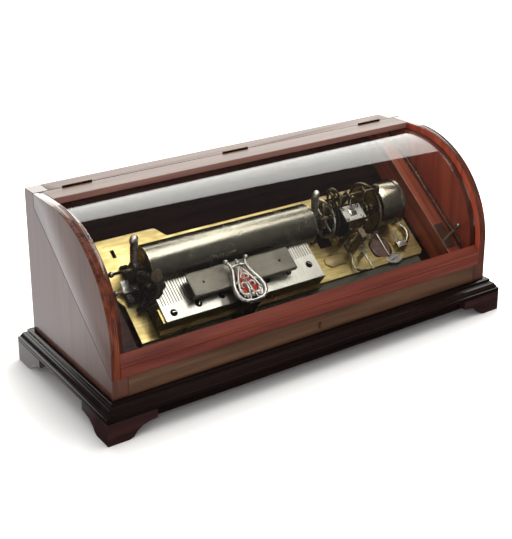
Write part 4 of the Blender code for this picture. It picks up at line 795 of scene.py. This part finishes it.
# %% Lyre
LYRE = BED @ Matrix.Translation(in_mm(-127.5, 60, 76))
bm = bmesh.new()
arm = [
    (6, 2, 2), (17, 2, 2.4), (26, 7, 2.8), (31, 16, 3), (32, 27, 3), (29, 39, 3), (24, 51, 3), (19, 63, 3),
    (16.5, 74, 3), (18, 83, 3.2), (22, 88, 3.6),
]
widths = [2.6, 3.4, 4.2, 4.8, 4.8, 4.2, 3.6, 3.2, 3.0, 3.0, 2.4]
for side in (-1, 1):
    bar(bm, [(side * x, s, h) for x, s, h in arm], widths, LYRE, 12)
    ball(bm, 5.2 * MM, in_mm(side * 23, 89, 4.8), LYRE)
    for x, s, h in arm[1:9]:
        ball(bm, 2.5 * MM, in_mm(side * (x + 2), s - 1, h + 1.6), LYRE)
    ball(bm, 2.6 * MM, in_mm(side * 15, 76, 4.6), LYRE)
    turns = [step * 0.45 for step in range(13)]
    scroll = [in_mm(side * (13 + 6.5 * math.cos(a)), 10 + 6.5 * math.sin(a), 3.4) for a in turns]
    tube(bm, scroll, [1.7 * MM] * len(scroll), LYRE, 8)
    ball(bm, 2.8 * MM, in_mm(side * 13, 10, 3.6), LYRE)
    leaf = [(side * 26, 22, 4.6), (side * 22, 27, 5.2), (side * 18, 24, 4.6), (side * 16, 18, 4)]
    bar(bm, leaf, (1.6, 1.9, 1.6, 1.0), LYRE, 8)
    bud = [(side * 24, 40, 4.6), (side * 19, 44, 5), (side * 15, 40, 4.4)]
    bar(bm, bud, (1.5, 1.7, 1.0), LYRE, 8)
bar(bm, [(-19, 74, 4), (-9, 77, 4.4), (0, 78, 4.6), (9, 77, 4.4), (19, 74, 4)], [2.2] * 5, LYRE, 10)
bar(bm, [(-10, 2, 2.4), (0, 0.5, 2.8), (10, 2, 2.4)], [2.6] * 3, LYRE, 10)
ball(bm, 4.4 * MM, in_mm(0, 82, 4.6), LYRE)
ball(bm, 2.6 * MM, in_mm(0, 88, 5), LYRE)
ball(bm, 5 * MM, in_mm(0, 12, 3.2), LYRE)
ball(bm, 3.4 * MM, in_mm(0, 22, 3.6), LYRE)
lyre = finished("lyre_made", bm, silver, "root", 60)
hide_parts("lyre_ornament")
bm = bmesh.new()
for x in (-4.5, -1.5, 1.5, 4.5):
    bar(bm, [(x * 1.4, 24, 2.6), (x * 1.15, 50, 3), (x, 76, 3.4)], [0.55] * 3, LYRE, 6)
INNER = ((3, 70), (8, 62), (13, 52), (18, 40), (22, 28), (20, 18), (13, 13), (5, 16), (2.5, 26), (2, 40))
for side in (-1, 1):
    inner = [(side * x, s, 3.4) for x, s in INNER]
    bar(bm, inner, (1.2, 2.0, 2.4, 2.6, 2.6, 2.4, 2.2, 2.0, 2.4, 1.6), LYRE, 8)
    frond = [(side * x, s, 4.2) for x, s in ((4, 36), (9, 40), (14, 37), (15, 31), (10, 29))]
    bar(bm, frond, (1.4, 1.9, 1.9, 1.6, 1.0), LYRE, 8)
    curl = [(side * x, s, 4.6) for x, s in ((2, 58), (6, 56), (9, 51), (7, 47), (3, 48))]
    bar(bm, curl, (1.2, 1.7, 1.7, 1.4, 0.9), LYRE, 8)
finished("lyre_strings", bm, silver, "root", 60)
bm = bmesh.new()
cloth = [(12, 15), (20, 20), (21, 28), (17, 40), (9, 56), (4, 68)]
cloth = [(-12, 15)] + cloth + [(-x, s) for x, s in reversed(cloth[1:])]
slab(bm, scaled(cloth), 0.2 * MM, 1.0 * MM, LYRE, 0.2 * MM)
finished("lyre_cloth", bm, red_cloth, "root")
print("lyre made of", len(lyre.data.polygons), "faces")

# %% [markdown]
# ## Bare plaque and dial
#
# A bronze plaque with eight sides and a small oval dial lie on the bed. The plaque has only a raised
# edge and a satin face, and the dial a raised rim and a slim pointer.

# %% Plaque and dial
plaque_metal = metal(
    "plaque_bronze", (0.36, 0.26, 0.12), (0.60, 0.46, 0.24), 0.50, in_mm(1.2, 0.8, 0.8), turn=TILT,
    relief=0.1 * MM,
)
bm = bmesh.new()
left, right, front, back, corner = 116, 178, 110, 136, 9
sides = [
    (left, front + corner), (left + corner, front), (right - corner, front), (right, front + corner),
    (right, back - corner), (right - corner, back), (left + corner, back), (left, back - corner),
]
plate(bm, sides, 0.3, 1.5, 0.3)
finished("plaque", bm, plaque_metal, "root")
bm = bmesh.new()
for (x, s), (nx, ns) in zip(sides, sides[1:] + sides[:1]):
    bar(bm, [(x, s, 1.6), (nx, ns, 1.6)], (0.8, 0.8), BED, 8)
    ball(bm, 0.9 * MM, in_mm(x, s, 1.6), BED, 8)
finished("plaque_edge", bm, brass, "root", 60)
bm = bmesh.new()
OVAL = BED @ Matrix.Translation(in_mm(283, 89, 0)) @ Matrix.Diagonal((1, 0.58, 1, 1))
lathe(bm, scaled(oblong(0, 1.4, 18, 0.3)), OVAL, 40)
finished("dial_face", bm, silver, "root")
bm = bmesh.new()
rings = [(18.4, 0.3), (18.4, 2.4), (19.4, 3.0), (20.6, 2.4), (20.8, 0.3)]
lathe(bm, scaled(rings), OVAL, 40, True)
bar(bm, [(-13, -4, 2.4), (0, 0, 2.8), (13, 5, 2.4)], (0.7, 1.2, 0.6), OVAL, 8)
finished("dial_rim", bm, silver, "root", 50)
print("plaque and dial lie on the bed")

# %% [markdown]
# ## Horns on the bearings
#
# Each bearing pillar ends in a bright curved horn that points up and back. The plain post of the solid
# is cut off with a plane where the horn starts, the cut is closed again, and the horn is a bar swept
# along its curve.

# %% Horns
HORN_START = 60 * MM
cut = BED @ Matrix.Translation((0, 0, HORN_START))
for node in ("bearing_left", "bearing_right"):
    bm = merged(node)
    sliced = bmesh.ops.bisect_plane(
        bm, geom=bm.verts[:] + bm.edges[:] + bm.faces[:], dist=0.01 * MM, plane_co=cut.translation,
        plane_no=cut.to_3x3() @ Vector((0, 0, 1)), clear_outer=True,
    )
    rim = [item for item in sliced["geom_cut"] if isinstance(item, bmesh.types.BMEdge)]
    bmesh.ops.contextual_create(bm, geom=rim)
    casting = finished(node + "_made", bm, iron, "root")
    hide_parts(node)
bm = bmesh.new()
for x in (-311, 112):
    horn = [(x, 212, 54), (x, 222, 68), (x, 230, 80), (x, 235, 90)]
    horn += [(x - 2, 236, 98), (x - 7, 233, 104), (x - 11, 228, 105)]
    bar(bm, horn, (8, 8, 8, 7.6, 7.4, 7, 6), BED, 14)
    ball(bm, 6.6 * MM, in_mm(x - 11, 229, 104), BED)
finished("bearing_horns", bm, silver, "root", 60)
print("two horns")

# %% [markdown]
# ## The cluster at the left end
#
# Black castings, a plate with screws, a small knob and a brown disc stand round the left bearing.

# %% Left end
bm = bmesh.new()
plate(bm, oblong(-334, 150, -296, 182), 0.3, 11, 1)
plate(bm, [(-290, 150), (-258, 152), (-256, 180), (-290, 180)], 0.3, 16, 1.5)
plate(bm, oblong(-286, 176, -262, 206), 0.3, 26, 2)
bar(bm, [(-318, 137, 0.3), (-318, 137, 14), (-310, 145, 20), (-296, 158, 22)], (5, 4.4, 4, 3), BED, 12)
bar(bm, [(-272, 160, 16), (-270, 158, 26), (-262, 164, 32), (-262, 178, 34)], (5, 4.6, 4, 3.6), BED, 12)
ball(bm, 6 * MM, in_mm(-276, 172, 20), BED)
arm = [(-312, 186, 48), (-303, 176, 56), (-294, 163, 60), (-288, 150, 58)]
arm += [(-290, 140, 50), (-300, 134, 38), (-312, 132, 24), (-320, 130, 12)]
bar(bm, arm, (10, 11, 10, 9, 8, 7, 6, 4), BED, 14)
bar(bm, [(-276, 152, 52), (-286, 158, 60), (-300, 168, 58)], (5, 8, 8), BED, 12)
bar(bm, [(-304, 150, 12), (-302, 148, 30), (-298, 152, 46)], (8, 7, 6), BED, 12)
ball(bm, 9 * MM, in_mm(-282, 150, 54), BED)
finished("left_castings", bm, iron, "root", 45)
bm = bmesh.new()
plate(bm, [(-338, 172), (-306, 172), (-304, 198), (-336, 198)], 11.2, 14, 0.6)
plate(bm, oblong(-300, 120, -292, 150), 0.3, 6, 0.6)
ball(bm, 5.4 * MM, in_mm(-352, 177, 12), BED)
bar(bm, [(-350, 177, 11), (-336, 178, 10)], (2.2, 2.2), BED, 10)
for x, s, h in ((-330, 178, 14), (-312, 178, 14), (-322, 192, 14), (-281, 160, 16), (-265, 172, 16)):
    screw(bm, x, s, h, 3, 2, x)
finished("left_plate", bm, silver, "root", 45)
bm = bmesh.new()
DISC = BED @ Matrix.Translation(in_mm(-295, 161, 77)) @ Matrix.Rotation(math.radians(24), 4, "X")
turned = [(0, 5), (5, 5), (6, 3.5), (11, 3.5), (12, 2.5), (12, -2.5), (11, -3.5), (0, -3.5)]
lathe(bm, scaled(turned), DISC, 40)
finished("left_disc", bm, tired_brass, "root", 40)
print("left end dressed")

# %% [markdown]
# ## The train's small parts
#
# Screws hold the top plate of the cage, a small cock stands on it, and a bright post in front carries
# the stop work. They are simple bars, blocks and balls, because the photograph shows them only a few
# pixels wide.

# %% Cage trim
bm = bmesh.new()
for x, s in ((165, 171), (203, 171), (165, 196), (203, 196)):
    screw(bm, x, s, 78, 3.4, 2.6, x)
plate(bm, [(176, 176), (192, 176), (194, 192), (174, 192)], 78, 80, 0.6)
bar(bm, [(184, 190, 80), (184, 198, 84), (186, 206, 92), (188, 208, 100)], (2.4, 2.2, 2, 1.6), BED, 10)
ball(bm, 3 * MM, in_mm(184, 184, 82), BED)
finished("cage_screws", bm, steel, "root", 45)
bm = bmesh.new()
for x, s, h in ((172, 160, 58), (200, 160, 60), (214, 168, 66)):
    bar(bm, [(x, s, h - 22), (x, s - 2, h - 6), (x + 3, s - 4, h)], (2, 2.6, 1.6), BED, 10)
    ball(bm, 2.6 * MM, in_mm(x + 3, s - 4, h), BED)
bar(bm, [(222, 142, 0.3), (222, 142, 30)], (3.2, 3.2), BED, 12)
plate(bm, oblong(214, 134, 230, 150), 0.3, 5, 0.8)
plate(bm, oblong(216, 138, 234, 146), 30, 33, 0.6)
screw(bm, 222, 142, 33, 3, 2)
screw(bm, 230, 142, 33, 2.4, 1.6)
finished("stop_work", bm, steel, "root", 45)
print("cage trimmed")

# %% [markdown]
# ## Levers on the right of the bed
#
# A thin bright lever curves round the plaque, and a stout hook with its block stands by the barrel.

# %% Curved lever and hook
bm = bmesh.new()
curve = [(198, 134), (188, 136), (181, 128), (179, 114), (172, 102), (172, 90), (182, 82), (196, 82)]
curve = [(x, s, 7) for x, s in curve]
bar(bm, curve, (2.4, 3, 2.6, 2.4, 2.4, 2.4, 2.6, 2), BED, 12)
ball(bm, 4 * MM, in_mm(198, 134, 7), BED)
bar(bm, [(188, 135, 0.3), (188, 135, 9)], (4, 4), BED, 14)
finished("curved_lever", bm, steel, "root", 50)
bm = bmesh.new()
hook = [(338, 158, 8), (344, 150, 8), (345, 138, 8), (340, 126, 8), (330, 116, 8), (320, 112, 8)]
bar(bm, hook, (4, 4.6, 5, 5, 4.8, 4), BED, 12)
plate(bm, oblong(300, 104, 324, 120), 0.3, 14, 1.2)
finished("hook_casting", bm, nickel, "root", 45)
bm = bmesh.new()
plate(bm, oblong(302, 106, 322, 118), 14.2, 16, 0.5)
screw(bm, 306, 112, 16, 2.4, 1.6)
screw(bm, 318, 112, 16, 2.4, 1.6, 1)
bar(bm, [(306, 122, 10), (304, 134, 12), (310, 140, 18)], (3, 2.6, 2.2), BED, 10)
finished("hook_plate", bm, silver, "root", 45)
print("levers and hook set")

# %% [markdown]
# ## What shows through and beside the bed
#
# A round brown block fills the opening by the start lever. A grey-green strip on the deck in front of
# the bed is a painted reflection, for the greenish haze that the lower part of the glass shows there,
# and a thin black bar under the front edge of the comb is painted shade, for the shadow under that edge.

# %% Block, strip and bar
bm = bmesh.new()
BLOCK = BED @ Matrix.Translation(in_mm(265, 122, 0))
lathe(bm, scaled([(0, 1.2), (22, 1.2), (23.4, 0.4), (23.4, -5.5), (0, -5.5)]), BLOCK, 40)
brown_wood = wood("brown_block", (0.150, 0.080, 0.060), (0.270, 0.155, 0.120), "X", 0.5, 0.1)
finished("brown_block", bm, brown_wood, "root", 40)
bm = bmesh.new()
strip = [(-340, 30), (350, 30), (350, 82.5), (-185, 82.5), (-225, 71.5), (-340, 71.5)]
plate(bm, strip, -5.9, -4.6, 0.3)
# The grey-green strip is a painted reflection of the glass's greenish haze.
glass_reflection_strip = new_finish("glass_reflection_strip", 0.8)
strip_noise = pattern(glass_reflection_strip, in_mm(0.8, 0.8, 0.8), 2, TILT)
coloured(glass_reflection_strip, strip_noise, ((0.3, (0.055, 0.052, 0.034)), (0.7, (0.105, 0.098, 0.068))))
raised(glass_reflection_strip, strip_noise, 0.1 * MM, 0.5)
finished("deck_reflection_strip", bm, glass_reflection_strip, "root", 40)
bm = bmesh.new()
# The black bar is painted shade under the comb's front edge.
plate(bm, oblong(-296, 83, 63, 92), 33, 40.8, 0.4)
finished("comb_edge_shade_bar", bm, iron, "root", 40)
print("block, strip and bar set")

# %% [markdown]
# ## Key plate
#
# The keyhole has a thin brass lining that stands only a hair above the wood.

# %% Key plate
bm = bmesh.new()
KEY = Matrix.Translation(in_mm(3, -165, 86)) @ Matrix.Rotation(math.radians(90), 4, "X")
KEY = KEY @ Matrix.Diagonal((0.42, 1, 1, 1))
lathe(bm, scaled([(6.6, -0.5), (6.6, 0.3), (8.2, 0.4), (8.6, 0), (8.6, -0.5)]), KEY, 32, True)
finished("key_plate", bm, brass, "root", 50)
print("key plate set")

# %% [markdown]
# ## Floor, backdrop and lights
#
# The photograph is a studio picture on white, but its wood and glass mirror a dark room. So the floor
# and the world each have two looks, one seen straight and one seen in a mirror. These helpers join the
# nodes that tell such rays apart.

# %% Stage helpers
def reckoned(tree, operation, first, second=0.0, clamp=False):
    """One step of arithmetic on links or numbers."""
    step = added(tree, "ShaderNodeMath", {0: first, 1: second})
    step.operation = operation
    step.use_clamp = clamp
    return step.outputs["Value"]


def mixed(tree, factor, first, second):
    """The first shader where the factor is nought and the second where it is one."""
    return added(tree, "ShaderNodeMixShader", {"Fac": factor, 1: first, 2: second}).outputs["Shader"]


def glow(tree, strength):
    """White light given off by a surface."""
    inputs = {"Color": (1, 1, 1, 1), "Strength": strength}
    return added(tree, "ShaderNodeEmission", inputs).outputs["Emission"]


def mirrored(tree, rays):
    """One where the light path has been mirrored by anything, even if it went on through the glass."""
    times = reckoned(tree, "MAXIMUM", rays.outputs["Is Glossy Ray"], rays.outputs["Glossy Depth"])
    return reckoned(tree, "GREATER_THAN", times, 0.5)


print("stage helpers ready")

# %% [markdown]
# ## The floor's finish
#
# A glow of its own lifts the floor to full white. It grows with the distance from the case, so that the
# soft shadow round the plinth stays; where the glow fades out near the case it also paints a soft shade
# there. In a mirror the floor is bright behind the case and to its left, and dark in front.

# %% Floor finish
SHADOW_REACH = 0.16
FLOOR_GLOW = 0.70
DARK_FLOOR = 0.03
BRIGHT_FLOOR = 0.9
floor_material = bpy.data.materials.new("pale_floor")
floor_material.use_nodes = True
tree = floor_material.node_tree
tree.nodes.clear()
rays = tree.nodes.new("ShaderNodeLightPath")
place = tree.nodes.new("ShaderNodeTexCoord")
split = added(tree, "ShaderNodeSeparateXYZ", {"Vector": place.outputs["Object"]})
away = []
for axis, half in (("X", 0.46), ("Y", 0.18)):
    apart = reckoned(tree, "SUBTRACT", reckoned(tree, "ABSOLUTE", split.outputs[axis]), half)
    away.append(reckoned(tree, "POWER", reckoned(tree, "MAXIMUM", apart, 0.0), 2.0))
distance = reckoned(tree, "SQRT", reckoned(tree, "ADD", away[0], away[1]))
# Near the case the glow fades to nothing, which paints a soft shade round the plinth.
open_floor = reckoned(tree, "DIVIDE", distance, SHADOW_REACH, True)
matt = added(tree, "ShaderNodeBsdfDiffuse", {"Color": (0.95, 0.945, 0.94, 1)})
own_light = glow(tree, reckoned(tree, "MULTIPLY", open_floor, FLOOR_GLOW))
lift = added(tree, "ShaderNodeAddShader", {0: matt.outputs["BSDF"], 1: own_light})
behind = between(tree, split.outputs["Y"], -0.10, 0.25)
beside = between(tree, split.outputs["X"], -0.60, -0.78)
bright = reckoned(tree, "MAXIMUM", behind, beside)
mirror = mixed(tree, bright, glow(tree, DARK_FLOOR), glow(tree, BRIGHT_FLOOR))
seen = mixed(tree, mirrored(tree, rays), lift.outputs["Shader"], mirror)
added(tree, "ShaderNodeOutputMaterial", {"Surface": seen})
print("floor finish:", floor_material.name)

# %% [markdown]
# ## Floor
#
# The floor has no shape of its own, so one large grid face is enough. It belongs to the stage and not
# to the music box.

# %% Floor
FLOOR_HALF = 40
bm = bmesh.new()
bmesh.ops.create_grid(bm, x_segments=1, y_segments=1, size=FLOOR_HALF)
mesh = bpy.data.meshes.new("floor")
bm.to_mesh(mesh)
bm.free()
mesh.materials.append(floor_material)
floor = bpy.data.objects.new("floor", mesh)
bpy.context.scene.collection.objects.link(floor)
print("floor laid")

# %% [markdown]
# ## World
#
# The world stands for the room. The camera sees it pure white, also through the glass. Matt surfaces
# are lit by a softer white, and polished ones mirror a nearly dark room, as they do in the photograph.

# %% World
world = bpy.data.worlds.new("studio")
bpy.context.scene.world = world
world.use_nodes = True
tree = world.node_tree
tree.nodes.clear()


def surrounding(colour, strength):
    """One look of the world, as a colour and a strength."""
    inputs = {"Color": (*colour, 1), "Strength": strength}
    return added(tree, "ShaderNodeBackground", inputs).outputs["Background"]


rays = tree.nodes.new("ShaderNodeLightPath")
white = surrounding((1, 1, 1), 1.0)
room = surrounding((1.0, 0.985, 0.96), 0.60)
dark = surrounding((1.0, 0.97, 0.93), 0.09)
straight = reckoned(tree, "MAXIMUM", rays.outputs["Is Camera Ray"], rays.outputs["Is Transmission Ray"])
shown = mixed(tree, mirrored(tree, rays), mixed(tree, straight, room, white), dark)
added(tree, "ShaderNodeOutputWorld", {"Surface": shown})
print("world set")

# %% [markdown]
# ## Lamps
#
# A large wall of light stands behind for the pale band on the glass, and a weak one fills the front.
# Two lamps light the movement from above. The bent glass would mirror them as white patches that the
# photograph doesn't have. A ray that only touched the glass has crossed two surfaces at most, while one
# that has been to the brass and back has crossed four, so the number of crossings tells them apart.

# %% Lamps
def keep_off_the_glass(data):
    """Hides a lamp from rays that were mirrored by the glass itself or by the outside of the case."""
    data.use_nodes = True
    tree = data.node_tree
    rays = tree.nodes.new("ShaderNodeLightPath")
    plain = reckoned(tree, "LESS_THAN", rays.outputs["Glossy Depth"], 0.5)
    inside = reckoned(tree, "GREATER_THAN", rays.outputs["Transmission Depth"], 3.5)
    fed(tree, tree.nodes["Emission"], {"Strength": reckoned(tree, "MAXIMUM", plain, inside)})


def lamp(name, at, aim, size, power, colour, mirrored_in_glass=True):
    """An area lamp at a place, turned towards its aim."""
    data = bpy.data.lights.new(name, "AREA")
    data.shape = "RECTANGLE"
    data.size, data.size_y = size
    data.energy = power
    data.color = colour
    light = bpy.data.objects.new(name, data)
    light.location = at
    light.rotation_euler = (Vector(at) - Vector(aim)).to_track_quat("Z", "Y").to_euler()
    bpy.context.scene.collection.objects.link(light)
    if not mirrored_in_glass:
        keep_off_the_glass(data)


AIM = (0, 0, 0.2)
VIEW = Vector((0.569, 0.822, 0))
WALL = VIEW * 2.6 + Vector((0, 0, 1.62))
lamp("paper_wall", WALL, (VIEW.x, VIEW.y, 1.3), (6.0, 3.2), 155, (1, 0.99, 0.94))
lamp("overhead", (0.45, -0.45, 2.2), AIM, (1.5, 1.5), 16, (1, 0.98, 0.94), False)
lamp("cylinder_strip", (0.8, -0.15, 2.0), (-0.1, 0, 0.22), (2.4, 0.12), 6, (1, 0.98, 0.93), False)
lamp("front_fill", (-1.6, -2.4, 1.9), AIM, (1.6, 1.2), 8, (1, 0.98, 0.95))

# %% [markdown]
# ## Camera
#
# The camera was solved from the straight edges of the case: its place, its turn and its shift.

# %% Camera
lens = bpy.data.cameras.new("camera")
lens.lens = 74.35
lens.sensor_width = 36
lens.shift_y = -0.2
camera = bpy.data.objects.new("camera", lens)
camera.location = (-1.2110, -1.7013, 1.0790)
camera.rotation_euler = (1.246339, 0, -0.605176)
bpy.context.scene.collection.objects.link(camera)
bpy.context.scene.camera = camera
bpy.context.scene.view_settings.view_transform = "Standard"
print("camera placed")
